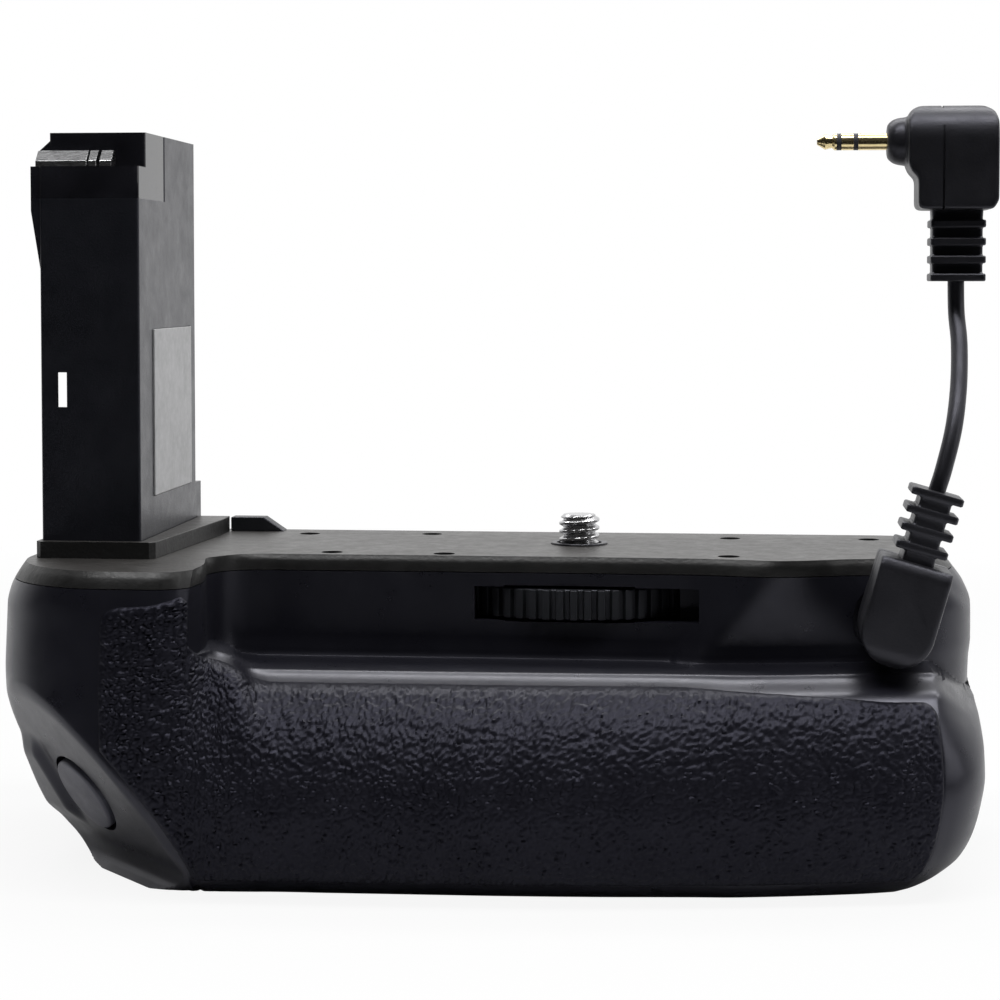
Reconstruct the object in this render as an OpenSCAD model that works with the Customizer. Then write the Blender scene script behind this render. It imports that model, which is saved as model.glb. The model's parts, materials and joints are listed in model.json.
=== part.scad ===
// Vertical battery grip for a small single-lens camera.
// X runs left to right, Y from the front to the back, Z up; the origin is under the middle of the body.
// The body is one loft: plan outlines stacked by height, cut into front housing, rear housing and top plate.

/* [Body] */
// Overall width of the body
body_w = 144; // [138:1:152]
// Overall depth of the body
body_d = 74; // [72:1:80]
// Height of the plate that the camera stands on
plate_z = 46.3; // [45:0.1:50]
// Thickness of the top plate
plate_t = 2.4; // [2:0.1:2.6]
// Depth of the finger recess behind the grip's front
recess_d = 30; // [28:1:31]
// Height of the lip below the finger recess
lip_z = 30.6; // [29.5:0.1:31]
// How far the left lobe stands behind the grip's front
lobe_back = 4; // [2:0.5:6]

/* [Rubber grip] */
// Thickness of the rubber skin
rubber_t = 1.5; // [1.2:0.1:2]
// How far the rubber stands out of its pocket
rubber_proud = 0.3; // [0.1:0.1:0.5]

/* [Battery column] */
// Width of the column, as thick as a battery pack
col_w = 15.1; // [13:0.1:15.6]
// Depth of the column, as wide as a battery pack
col_d = 38.4; // [36:0.1:39]
// Height of the column's front face above the plate
col_h = 58.4; // [56:0.5:62]
// Height of the contact block's rear step above the front face
block_h = 5.2; // [4:0.2:7]
// Height of the collar around the column's foot
collar_h = 2.5; // [1.5:0.1:3]

/* [Tripod screw] */
// Radius of the 1/4 inch tripod screw
screw_r = 3.175; // [3.175:0.001:3.175]
// Height of the screw above the plate
screw_out = 4.7; // [4.5:0.1:5.5]
// How far the thumbwheel stands out of the recess wall
wheel_peek = 1.5; // [1:0.1:2]
// Thickness of the thumbwheel
wheel_t = 4.5; // [4.2:0.1:4.8]
// Number of teeth on the thumbwheel
wheel_teeth = 64; // [48:4:72]
// Width of the slot that shows the thumbwheel
slot_w = 33.7; // [30:0.1:35]

/* [Shutter button] */
// Radius of the button
button_r = 6; // [5:0.1:6.4]
// Travel of the button
button_travel = 1.2; // [0.8:0.1:1.4]

/* [Battery bay] */
// Width of each bay, along a battery pack's length
bay_w = 50; // [48:0.5:51]
// Depth of each bay
bay_d = 35.4; // [34:0.2:35.6]
// Height of each bay
bay_h = 15.6; // [15:0.1:16]
// Thickness of the cradle's walls
cradle_t = 1.2; // [1:0.1:1.4]
// Thickness of the battery door
door_t = 3.2; // [3:0.1:3.4]
// Travel of the door latch
latch_travel = 2.5; // [1.5:0.1:2.6]

/* [Patch cord] */
// Radius of the plug pins
pin_r = 1.25; // [1.25:0.01:1.25]
// Length of the plug pins
pin_l = 10.3; // [10:0.1:10.8]
// Radius of the cord
cord_r = 1.25; // [1.1:0.05:1.4]
// Lean of the lower plug to the right
plug_tilt = 15.8; // [12:0.1:18]
// Half width of a plug body
plug_half = 5.3; // [5:0.1:5.5]

/* [Clearances] */
// Gap round a piece that turns or slides
run_gap = 0.35; // [0.3:0.05:0.5]
// Gap round a piece that is fixed in a pocket
fix_gap = 0.1; // [0.05:0.05:0.2]

/* [Hidden] */
$fn = 48;
hw = body_w / 2;
yf = -body_d / 2;
yb = body_d / 2;
recess_y = yf + recess_d;
lobe_y = yf + lobe_back;
seam_z = plate_z - plate_t;
lip_ref = 30.6;
plate_ref = 46;

// Rows of the loft: heights of the plan outlines, from the base up to the plate
edge = 0.2;
rub_lo = 2.6;
rub_hi = lip_z - 0.9;
rub_lobe = plate_z - 4.3;
low_k = lip_z / lip_ref;
rows_low = [0, 0.5, 1.4, rub_lo - edge, rub_lo, 5 * low_k, 8.5 * low_k, 12.5 * low_k, 16.5 * low_k,
            20 * low_k, 23 * low_k, 25.5 * low_k, 27.2 * low_k, rub_hi - edge, rub_hi];
rows_lip = [for (d = [-0.5, -0.2, 0, 0.16, 0.3, 0.42, 1.6, 3.4, 5.4]) lip_z + d];
rows_top = [rub_lobe - edge, rub_lobe, seam_z, plate_z - 1, plate_z];
rows = concat(rows_low, rows_lip, rows_top);
j_rub_lo = 4;
j_rub_hi = 13;
j_rub_lobe = 24;
j_seam = 26;
j_top = 28;

// How far each side draws in with height, in mm, on the reference heights
left_in = [[0, 13], [0.5, 11.6], [1.4, 10.2], [2.6, 8.8], [5, 6.2], [8.5, 4], [12.5, 2.9], [16.5, 2.4],
           [20, 1.9], [23, 1.3], [25.5, 0.8], [28, 0.3], [32, 0], [40, 0.1], [42.6, 0.7], [44, 1.4], [46, 2.6]];
right_in = [[0, 11], [0.5, 9], [1.4, 7.3], [2.6, 5.7], [5, 3.3], [8.5, 1.6], [12.5, 0.6], [16.5, 0],
            [20, 0], [23, 0.2], [25.5, 0.4], [30, 0.3], [33, 0], [38, 0], [41.5, 1.2], [43.6, 2.8], [45, 4.2],
            [46, 5.4]];
back_in = [[0, 6.5], [0.5, 4.6], [1.4, 3.2], [2.6, 1.9], [5, 0.6], [7.4, 0], [42.2, 0], [43.6, 1.2],
           [45, 4.6], [46, 6.4]];
// Blend from the recess outline (0) to the grip outline (1), against the height over the lip
grip_blend = [[-30.6, 0.72], [-30.1, 0.79], [-29.2, 0.845], [-28, 0.89], [-25.6, 0.945], [-22.1, 0.98],
              [-18.1, 1], [-14.1, 0.985], [-10.6, 0.94], [-7.6, 0.878], [-5.1, 0.806], [-3.4, 0.745],
              [-1.9, 0.68], [-1.1, 0.638], [-0.9, 0.626], [-0.5, 0.595], [-0.2, 0.56], [0, 0.525],
              [0.16, 0.46], [0.3, 0.3], [0.42, 0.012], [1.6, 0.004], [3.4, 0], [13, 0], [14.4, -0.006],
              [15.4, -0.025]];
lobe_blend = [[0, -1.1], [0.5, -0.5], [1.4, -0.05], [2.6, 0.3], [5, 0.6], [8.5, 0.85], [12.5, 1],
              [16.5, 0.97], [20, 0.88], [25.5, 0.66], [30.6, 0.42], [37, 0.18], [43.6, 0], [45, -0.12],
              [46, -0.3]];

// Plan outlines, anticlockwise from the left end: at recess height and at grip height
lobe_r = 19;
corner_lobe = [180, 196, 212, 228, 243, 255, 263, 266.9, 267.5];
corner_right = [270, 297, 298.5, 312, 326, 343, 360];
corner_back = [0, 22, 45, 68, 90];
lobe_turn = [270, 290, 310, 328, 331];
recess_turn = [175, 148, 118, 90];
lobe_x = -hw + 31.2;
lobe_wall = [[lobe_x - 0.25, lobe_y + 9], [lobe_x - 0.9, lobe_y + 14.5]];
function arc(cx, cy, r, angles) = [for (a = angles) [cx + r * cos(a), cy + r * sin(a)]];
back_r = 10;
wall_x = [-28, -18, -8, 2, 12, 22, 30, 35, 40, 45, 50, 54];
wall_dy = [0.1, 0.25, 0.32, 0.32, 0.25, 0.1, -0.2, -1, -2, -1.2, 0.2, 1.4];
grip_x = [-49, -46.6, -44.2, -41.8, -41.5, -39, -36.4, -34, -31.6, -29.2, -26.6, -20, -13, -6, 1, 9, 18, 26,
          32, 38, 44, 50, 55];
// How far the front of the grip falls back towards its right end
front_back = [[-46, 0], [-20, 0.4], [0, 1.1], [10, 1.8], [20, 2.8], [30, 4.2], [40, 5.8], [50, 7.6],
              [60, 9.4]];
wide = body_w / 144;
corner_in = 12;
corner_dy = lookup(60, front_back);
side_r = arc(hw - back_r, yb - back_r, back_r, corner_back);
back_pts = [for (x = [40, 13, -15, -40]) [x * wide, yb]];
side_l = arc(-hw + back_r, yb - back_r, back_r, [for (a = corner_back) a + 90]);
recess_line = concat(
    arc(-hw + lobe_r, lobe_y + lobe_r, lobe_r, corner_lobe),
    arc(lobe_x - 6, lobe_y + 6, 6, lobe_turn),
    lobe_wall,
    arc(lobe_x + 5.4, recess_y - 7, 7, recess_turn),
    [for (k = [0:len(wall_x) - 1]) [wall_x[k] * wide, recess_y + wall_dy[k]]],
    arc(hw - 15, recess_y + 17, 15, corner_right),
    side_r, back_pts, side_l);
grip_line = concat(
    arc(-hw + lobe_r, yf + lobe_r, lobe_r, corner_lobe),
    [for (x = grip_x) [x * wide, yf + lookup(x, front_back)]],
    arc(hw - corner_in, yf + corner_dy + corner_in, corner_in, corner_right),
    side_r, back_pts, side_l);
cols = len(recess_line);
// Share of the grip blend in each column, low down and at the lip; the rest follows the lobe
share_low = concat([for (k = [0:9]) 0], [0.12, 0.3, 0.5, 0.52, 0.82, 0.92, 0.97, 0.99],
    [for (k = [18:cols - 1]) 1]);
share_lip = concat([for (k = [0:12]) 0], [0.05, 0.25, 0.55, 0.85], [for (k = [17:cols - 1]) 1]);
function grip_share(i, z) = share_low[i] + (share_lip[i] - share_low[i]) * clamp01((ref_z(z) - 8) / 10);
// How far the lip rises in the corner between the recess and the lobe, and falls at the right end
corner_rise = [0, 0, 0, 0, 0, 0, 0, 0, 0, 0, 0, 0, 0, 3, 3.2, 3.3, 3, 2.3, 0.35,
    0, 0, 0, 0, 0, 0, 0, 0, 0, 0, 0, 0, 0, 0, 0, 0, -2, -5, -7.5, -8];
function lifted(i, z) = i < len(corner_rise) ? corner_rise[i] * clamp01((ref_z(z) - 18) / 12) : 0;
i_rub_left = 8;
i_rub_turn = 12;
i_rub_right = 33;

function clamp01(v) = min(1, max(0, v));
function ref_z(z) = z <= lip_z ? z * lip_ref / lip_z
    : lip_ref + (z - lip_z) * (plate_ref - lip_ref) / (plate_z - lip_z);
function ease(v) = v <= 0 ? 0 : v * v;
function pull_x(x, z) = x + lookup(ref_z(z), left_in) * ease((-x - 30) / (hw - 30))
    - lookup(ref_z(z), right_in) * ease((x - 30) / (hw - 30));
function pull_y(y, z) = y > 15 ? 15 + (y - 15) * (1 - lookup(ref_z(z), back_in) / (yb - 15)) : y;
function blend(i, z) = grip_share(i, z) * lookup(ref_z(z) - lip_ref - lifted(i, z), grip_blend)
    + (1 - grip_share(i, z)) * lookup(ref_z(z), lobe_blend);
function plan(i, z) = recess_line[i] + (grip_line[i] - recess_line[i]) * blend(i, z);
function skin(i, j) = let (z = rows[j], p = plan(i, z)) [pull_x(p[0], z), pull_y(p[1], z), z];
// Way into the body under the rubber
rise = [[0, 0.9], [5, 0.35], [8.5, 0.12], [12.5, 0], [16.5, -0.1], [20, -0.3], [25.5, -0.7], [28.6, -0.9],
        [30, -0.3], [31, 0], [46, 0]];
turn = [0, 0, 0, 0, 0, 0, 0, 0, 0, 0, 20, 40, 58, 60, 45, 30, 15];
function inward(i, j) = let (z = rows[j], b = clamp01(blend(i, z)),
        a = i < len(turn) ? turn[i] * (1 - b) : i >= i_rub_right ? 16 : 0,
        d = [-sin(a), cos(a), lookup(ref_z(z), rise)])
    d / norm(d);
function in_rubber(i, j) = i >= i_rub_left && j >= j_rub_lo
    && ((j <= j_rub_hi && i <= i_rub_right) || (j <= j_rub_lobe && i <= i_rub_turn));
function cell_rubber(i, j) = in_rubber(i, j) && in_rubber(i + 1, j) && in_rubber(i, j + 1)
    && in_rubber(i + 1, j + 1);
pocket_t = rubber_t - rubber_proud;
function shell_point(i, j) = skin(i, j) + (in_rubber(i, j) ? inward(i, j) * pocket_t : [0, 0, 0]);

// Solid between two rows of the loft
module loft(j0, j1) {
    rings = j1 - j0;
    function id(i, r) = r * cols + i % cols;
    points = [for (r = [0:rings]) for (i = [0:cols - 1]) shell_point(i, j0 + r)];
    walls = [for (r = [0:rings - 1]) for (i = [0:cols - 1])
        each [[id(i, r), id(i, r + 1), id(i + 1, r + 1)], [id(i, r), id(i + 1, r + 1), id(i + 1, r)]]];
    caps = [[for (i = [0:cols - 1]) i], [for (i = [cols - 1:-1:0]) rings * cols + i]];
    polyhedron(points, concat(walls, caps));
}

// Shutter facet: a flat cut across the lower left front corner
facet_at = [-hw + 13.7, yf + 12.7, 12.8];
facet_tip = 121;
facet_turn = 220.9;
module on_facet() {
    translate(facet_at) rotate([0, facet_tip, facet_turn]) children();
}
module facet_cut() {
    on_facet() translate([-60, -60, 0]) cube([120, 120, 60]);
}

// Tripod screw and thumbwheel
screw_x = 11.5;
screw_y = (recess_y + yb) / 2 - 2;
wheel_r = screw_y - recess_y + wheel_peek;
// The housings part just in front of the tripod socket
socket_r = 4.6;
socket_h = 7.6;
part_y = screw_y - socket_r - 0.2;
wheel_z = plate_z - 9.3;
pocket_z0 = wheel_z - 0.5;
pocket_z1 = wheel_z + wheel_t + 0.5;
wheel_room = wheel_r + 0.6;
slot_x = screw_x + 2.3 - slot_w / 2;
slot_z0 = wheel_z - 0.3;
slot_z1 = wheel_z + wheel_t + 0.3;
bush_r = 4.4;
screw_neck_r = screw_r - 0.2;
screw_tip = 0.6;
screw_z0 = plate_z + 0.5;
screw_z1 = plate_z + screw_out - screw_tip;
axle_r = 2.4;
axle_l = 1.2;

// Battery bay, cradle and door
cradle_z = 8.8;
bay_z = cradle_z + cradle_t;
cradle_h = bay_h + 2 * cradle_t;
rib = 3;
cradle_w = 2 * bay_w + rib + 2 * cradle_t;
cradle_y1 = yb - 4.8;
bay_y0 = cradle_y1 - bay_d;
cradle_y0 = bay_y0 - cradle_t;
hinge_y = yb - 2.1;
hinge_z = 10;
knuckle_r = 2.1;
hinge_pin_r = 0.8;
door_y1 = yb - 0.2;
door_y0 = door_y1 - door_t;
door_top = cradle_z + cradle_h + 1;
door_w = cradle_w + 1.6;
open_z0 = hinge_z - knuckle_r - 0.4;
open_z1 = door_top + run_gap;

// Hollow ends beside the cradle
bay_wall = 2.6;
end_wall = 1.9;
end_x = cradle_w / 2 + fix_gap + end_wall;
hollow_z0 = 8;

// Remote jack in the recess wall
jack_x = hw - 12.8;
jack_z = plate_z - 8.9;
jack_y = recess_y + 3;
jack_half = 4;
jack_l = 11;

// Column and collar
col_x0 = -hw + 4.5;
col_x1 = col_x0 + col_w;
tab_y0 = yb - 9.8;
col_y1 = tab_y0 - 2.8;
col_y0 = col_y1 - col_d;
col_top = plate_z + col_h;
cap_z = col_top - 4.8;
block_y1 = col_y0 + 16.6;
step_y = col_y0 + 4.6;
flare = 1.4;
flare_z0 = col_top - 15.4;
flare_z1 = col_top - 6.6;
col_r = 0.5;
label_y0 = col_y0 + 8.7;
label_z0 = plate_z + 8.6;
label_w = 25.6;
label_h = 25.4;
label_t = 0.5;
label_in = 0.25;

// Screws
head_r = 1.5;
shank_r = 0.8;
shank_l = 5;
head_h = 1.2;
plate_holes = [[screw_x - 44.9, screw_y + 11], [screw_x - 36.8, recess_y + 4],
               [screw_x - 24.9, screw_y + 12.5], [screw_x - 19.5, recess_y + 3.5],
               [screw_x + 23.6, screw_y + 10.5], [screw_x + 23.5, recess_y + 4], [hw - 14.8, screw_y + 11]];
base_holes = [[-40, yb - 12], [40, yb - 12], [-34, yf + 18], [0, yf + 16], [44, yf + 18]];

// Power switch at the rear
switch_x = -hw + 20;
switch_z = plate_z - 11;
knob_w = 5;
knob_h = 4;
knob_t = 1.8;
knob_travel = 4;

// Plug sizes, from the pin's shoulder and axis
neck_l = 2.9;
neck_r = 3.6;
plug_d = 13.3;
plug_end = 5.6;
plug_up = 10.2;
stem_in = 1.5;
stem_from = 5.3;
relief_l = 10.6;
relief_rib = 3.8;
relief_side = 4.05;
rib_t = 1.15;
relief_core = 2.3;
cord_at = neck_l + 7.5;
pin_in = 1.5;
root_r = pin_r - 0.3;
upper_at = [hw - 13.9, recess_y + 7, plate_z + 62.1];

// Pieces of the housing

module rounded_block(x0, y0, z0, w, d, h, r) {
    translate([x0, y0, z0]) linear_extrude(height = h) {
        translate([r, 0]) square([w - 2 * r, d]);
        translate([0, r]) square([w, d - 2 * r]);
        for (x = [r, w - r]) for (y = [r, d - r]) translate([x, y]) circle(r = r);
    }
}

module bay_room() {
    translate([-cradle_w / 2 - fix_gap, cradle_y0 - fix_gap, cradle_z])
        cube([cradle_w + 2 * fix_gap, yb - cradle_y0, cradle_h + fix_gap]);
}

module wheel_room_cut() {
    translate([screw_x, screw_y, pocket_z0]) cylinder(r = wheel_room, h = pocket_z1 - pocket_z0);
    translate([screw_x, screw_y, pocket_z0 - axle_l - 0.3]) cylinder(r = axle_r + run_gap, h = axle_l + 1);
    translate([screw_x, screw_y, pocket_z1 - 1]) cylinder(r = screw_r + run_gap, h = 4);
}

module board_room() {
    translate([-42, part_y - 12, lip_z + 0.2]) cube([86, 24, 3.8]);
}

module plate_screw_holes() {
    for (p = plate_holes) translate([p[0], p[1], seam_z - shank_l - 0.2])
        cylinder(r = shank_r + fix_gap, h = shank_l + 1);
}

module base_screw_holes() {
    for (p = base_holes) translate([p[0], p[1], -1]) {
        cylinder(r = head_r + 0.3, h = 3);
        cylinder(r = shank_r + fix_gap, h = 3 + shank_l);
    }
}

// Hollow insides that keep the mouldings' walls thin; they open where the housings part
module grip_hollow(z0, z1, wall) {
    front = [for (x = [-42:8:54]) [x * wide, yf + wall + lookup(x, front_back)]];
    y1 = cradle_y0 - bay_wall;
    translate([0, 0, z0]) linear_extrude(height = z1 - z0)
        polygon(concat(front, [[end_x + end_wall, y1], [front[0][0], y1]]));
}

module hollows() {
    grip_hollow(hollow_z0, 19 * low_k, 4.6);
    grip_hollow(18 * low_k, 25 * low_k, 8.6);
    translate([end_x, recess_y - 8, hollow_z0])
        cube([hw - 6 - end_x, yb + 2 - recess_y, 20 * low_k - hollow_z0]);
    translate([end_x, recess_y + 10, hollow_z0])
        cube([hw - 6 - end_x, yb - 16 - recess_y, lip_z - 1 - hollow_z0]);
    translate([-hw + 6, recess_y + 1, hollow_z0 + 3])
        cube([hw - 6 - end_x, yb - 10 - recess_y - 1, plate_z - 9 - hollow_z0]);
    translate([-hw + 12, lobe_y + 6, lip_z - 6]) cube([14, recess_y - lobe_y + 1, plate_z - 36.3]);
}

// Rooms that either housing may have a share of
module rooms() {
    hollows();
    bay_room();
    wheel_room_cut();
    board_room();
    plate_screw_holes();
    base_screw_holes();
    jack_room();
    translate([screw_x, screw_y, -1]) cylinder(r = socket_r + fix_gap, h = socket_h + 1);
}

module front_half() {
    translate([-hw - 5, yf - 5, -5]) cube([body_w + 10, part_y - yf + 5, plate_z + 10]);
}

module rear_half() {
    translate([-hw - 5, part_y, -5]) cube([body_w + 10, yb - part_y + 5, plate_z + 10]);
}

module front_housing() {
    color([0.12, 0.12, 0.13]) difference() {
        intersection() {
            loft(0, j_seam);
            front_half();
        }
        rooms();
        facet_cut();
        translate([slot_x, recess_y - 6, slot_z0]) cube([slot_w, 11, slot_z1 - slot_z0]);
        button_room();
    }
}

module rear_housing() {
    color([0.12, 0.12, 0.13]) difference() {
        intersection() {
            loft(0, j_seam);
            rear_half();
        }
        rooms();
        translate([-door_w / 2 - run_gap, cradle_y1 + 0.1, open_z0])
            cube([door_w + 2 * run_gap, 10, open_z1 - open_z0]);
        translate([-4.6, door_y0 - 0.2, open_z1 - 1]) cube([9.2, door_t - 0.9, latch_travel + 1.6]);
        translate([-door_w / 2 - 4, hinge_y, hinge_z]) rotate([0, 90, 0])
            cylinder(r = hinge_pin_r + fix_gap, h = door_w + 8);
        switch_room();
    }
}

module top_plate() {
    color([0.3, 0.3, 0.31]) difference() {
        loft(j_seam, j_top);
        for (p = plate_holes) translate([p[0], p[1], seam_z - 1])
            cylinder(r = head_r + 0.15, h = plate_t + 2);
        translate([screw_x, screw_y, seam_z - 1]) cylinder(r = bush_r + fix_gap, h = plate_t + 2);
    }
}

module grip_rubber() {
    function id(i, j, o) = (j * cols + i) * 2 + o;
    function outer(i, j) = id(i, j, 0);
    function under(i, j) = id(i, j, 1);
    points = [for (j = [0:j_top]) for (i = [0:cols - 1]) for (o = [0, 1])
        skin(i, j) + inward(i, j) * (o == 0 ? -rubber_proud : pocket_t)];
    cells = [for (j = [j_rub_lo:j_rub_lobe - 1]) for (i = [i_rub_left:i_rub_right - 1])
        if (cell_rubber(i, j)) [i, j]];
    faces = [for (c = cells) let (i = c[0], j = c[1], p = i + 1, q = j + 1) each concat(
        [[outer(i, j), outer(i, q), outer(p, q)], [outer(i, j), outer(p, q), outer(p, j)],
         [under(i, j), under(p, q), under(i, q)], [under(i, j), under(p, j), under(p, q)]],
        cell_rubber(i, j - 1) ? [] : rim(outer(p, j), outer(i, j), under(i, j), under(p, j)),
        cell_rubber(i, q) ? [] : rim(outer(i, q), outer(p, q), under(p, q), under(i, q)),
        cell_rubber(i - 1, j) ? [] : rim(outer(i, j), outer(i, q), under(i, q), under(i, j)),
        cell_rubber(p, j) ? [] : rim(outer(p, q), outer(p, j), under(p, j), under(p, q)))];
    color([0.15, 0.15, 0.17]) difference() {
        polyhedron(points, faces);
        on_facet() translate([-60, -60, -0.4]) cube([120, 120, 60]);
    }
}
function rim(a, b, c, d) = [[a, c, b], [a, d, c]];

// Shutter button on the facet

button_out = 0.8;
button_h = 3.4;
bore_depth = 7.2;
dome_h = bore_depth - (button_h - button_out);
switch_h = 2.4;
stem_r = 1.6;
stem_l = dome_h - switch_h - button_travel - 0.2;
module button_room() {
    on_facet() translate([0, 0, -bore_depth]) cylinder(r = button_r + run_gap, h = bore_depth + 1);
}

module shutter_button() {
    color([0.08, 0.08, 0.09]) on_facet() {
        translate([0, 0, button_out - button_h]) cylinder(r = button_r, h = button_h - 0.5);
        translate([0, 0, button_out - 0.5]) cylinder(r1 = button_r, r2 = button_r - 0.7, h = 0.5);
        translate([0, 0, button_out - button_h - stem_l]) cylinder(r = stem_r, h = stem_l + 0.1);
    }
}

module shutter_switch() {
    color([0.2, 0.2, 0.2]) on_facet() translate([-2.2, -2.2, -bore_depth])
        cube([4.4, 4.4, switch_h]);
}

module button_dome() {
    color([0.5, 0.5, 0.5]) on_facet() translate([0, 0, -bore_depth]) rotate_extrude()
        polygon([[4.6, 0], [5.4, 0], [5.4, 0.8], [3.4, dome_h], [2.4, dome_h], [4.6, 0.8]]);
}

// Thumbwheel and tripod screw

tooth = 0.8;
module thumbwheel() {
    step = 360 / wheel_teeth;
    rim_line = [for (k = [0:wheel_teeth - 1]) each [
        [wheel_r * cos(k * step), wheel_r * sin(k * step)],
        [wheel_r * cos((k + 0.5) * step), wheel_r * sin((k + 0.5) * step)],
        [(wheel_r - tooth) * cos((k + 0.6) * step), (wheel_r - tooth) * sin((k + 0.6) * step)],
        [(wheel_r - tooth) * cos((k + 0.9) * step), (wheel_r - tooth) * sin((k + 0.9) * step)]]];
    color([0.1, 0.1, 0.1]) translate([screw_x, screw_y, wheel_z]) difference() {
        linear_extrude(height = wheel_t) polygon(rim_line);
        translate([0, 0, -1]) cylinder(r = axle_r + fix_gap, h = wheel_t + 2);
    }
}

module tripod_screw() {
    color([0.6, 0.6, 0.62]) translate([screw_x, screw_y, 0]) {
        translate([0, 0, pocket_z0 - axle_l]) cylinder(r = axle_r, h = wheel_t + axle_l + 1.2);
        translate([0, 0, wheel_z + wheel_t]) cylinder(r = screw_neck_r, h = screw_z0 - wheel_z - wheel_t);
        translate([0, 0, screw_z0]) cylinder(r = screw_r, h = screw_z1 - screw_z0);
        translate([0, 0, screw_z1]) cylinder(r1 = screw_r, r2 = screw_r - screw_tip, h = screw_tip);
    }
}

module wheel_washer() {
    color([0.5, 0.5, 0.5]) translate([screw_x, screw_y, pocket_z0]) difference() {
        cylinder(r = 9, h = 0.4);
        translate([0, 0, -1]) cylinder(r = axle_r + run_gap, h = 3);
    }
}

module screw_bushing() {
    color([0.5, 0.5, 0.52]) translate([screw_x, screw_y, seam_z]) difference() {
        cylinder(r = bush_r, h = plate_t + 0.3);
        translate([0, 0, -1]) cylinder(r = screw_r + run_gap, h = plate_t + 3);
    }
}

module tripod_socket() {
    color([0.6, 0.6, 0.6]) translate([screw_x, screw_y, 0]) difference() {
        cylinder(r = socket_r, h = socket_h);
        translate([0, 0, -1]) cylinder(r = screw_r, h = 1 + 6.4);
    }
}

// Battery column

module column_body(z0, z1, y0, y1) {
    rounded_block(col_x0, y0, z0, col_w, y1 - y0, z1 - z0, col_r);
}

// Strip along the left face, with the outline given in X and Z
module left_strip(outline, y0, y1) {
    translate([0, y1, 0]) rotate([90, 0, 0]) linear_extrude(height = y1 - y0) polygon(outline);
}

module column_shell() {
    color([0.09, 0.09, 0.1]) difference() {
        union() {
            column_body(plate_z, cap_z, col_y0, col_y1);
            left_strip([[col_x0 + 1, flare_z0], [col_x0 + 1, cap_z], [col_x0 - flare, cap_z],
                [col_x0 - flare, flare_z1], [col_x0, flare_z0]], col_y0 + col_r, col_y1 - col_r);
            translate([col_x1 - 0.9, col_y1 - 1, plate_z]) cube([0.8, 5, 8.2]);
        }
        translate([col_x0 + 2.5, col_y0 - 1, plate_z + 22.5]) cube([1.5, 8, 5.2]);
        translate([col_x0 - 1, col_y0 + 0.8, plate_z + 21.5]) cube([5, 14.2, 7.4]);
        translate([col_x1 - label_in, label_y0 - fix_gap, label_z0 - fix_gap])
            cube([1, label_w + 2 * fix_gap, label_h + 2 * fix_gap]);
    }
}

block_x0 = col_x0 + 0.4;
module contact_block() {
    color([0.06, 0.06, 0.06]) {
        column_body(cap_z, col_top, col_y0, block_y1);
        translate([col_x0 - flare, col_y0 + col_r, cap_z])
            cube([flare + 1, block_y1 - col_y0 - col_r, col_top - cap_z]);
        rounded_block(block_x0, step_y, cap_z, col_x1 - block_x0, block_y1 - step_y,
                      col_top + block_h - cap_z, 0.3);
        left_strip([[block_x0 + 1, col_top - 0.1], [block_x0 + 1, col_top + 4], [block_x0, col_top + 4],
            [col_x0 - flare, col_top + 2.4], [col_x0 - flare, col_top - 0.1]], step_y + 0.3, block_y1);
    }
}

module column_cap() {
    color([0.1, 0.1, 0.11]) {
        column_body(cap_z, col_top + block_h, block_y1 + 0.3, col_y1);
        translate([col_x0 - flare, block_y1 + 0.3, cap_z])
            cube([flare + 1, col_y1 - col_r - block_y1 - 0.3, col_top - cap_z]);
    }
}

// Contact strips on the front step of the block: start and width of each
strips = [[-1.1, 7.8], [7, 1.2], [8.7, 1.8]];
module column_contacts() {
    color([0.8, 0.8, 0.8]) for (c = strips) translate([col_x0 + c[0], step_y, col_top])
        rotate([90, 0, 90]) linear_extrude(height = c[1])
            polygon([[0, 0], [0, 2.5], [-1, 2.5], [-2.6, 0.9], [-2.6, 0]]);
}

module column_label() {
    color([0.6, 0.6, 0.6]) translate([col_x1 - label_in, label_y0, label_z0])
        cube([label_t, label_w, label_h]);
}

module column_collar() {
    x0 = col_x0 - 0.6;
    x1 = lobe_x - 6.5;
    x2 = col_x1 + 2.4;
    y0 = col_y0 - 1.6;
    y1 = tab_y0 - 0.3;
    color([0.2, 0.2, 0.21]) difference() {
        translate([0, 0, plate_z]) linear_extrude(height = collar_h)
            polygon([[x0, y0 + 0.8], [x0 + 0.8, y0], [x2 - 0.8, y0], [x2, y0 + 1], [x1, col_y1 - 4], [x1, y1],
                [x0 + 1.6, y1], [x0, y1 - 1.6]]);
        translate([col_x0 - fix_gap, col_y0 - fix_gap, plate_z - 1])
            cube([col_w + 2 * fix_gap, col_d + 2 * fix_gap, collar_h + 2]);
        translate([col_x1 - 1, col_y1 - 1, plate_z - 1]) cube([1, 5.1, collar_h + 2]);
    }
}

module rear_tab() {
    x0 = lobe_x - 6.4;
    color([0.04, 0.04, 0.04]) translate([0, tab_y0 + 3, 0]) rotate([90, 0, 0]) linear_extrude(height = 3)
        polygon([[x0, plate_z], [x0 + 9, plate_z], [x0 + 5.6, plate_z + 2.3], [x0, plate_z + 2.3]]);
}

// Screws

module plate_screws() {
    color([0.4, 0.4, 0.42]) for (p = plate_holes) translate([p[0], p[1], seam_z]) {
        difference() {
            cylinder(r = head_r, h = head_h);
            translate([-0.25, -1, head_h - 0.5]) cube([0.5, 2, 1]);
            translate([-1, -0.25, head_h - 0.5]) cube([2, 0.5, 1]);
        }
        translate([0, 0, -shank_l]) cylinder(r = shank_r, h = shank_l + 0.2);
    }
}

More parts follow.
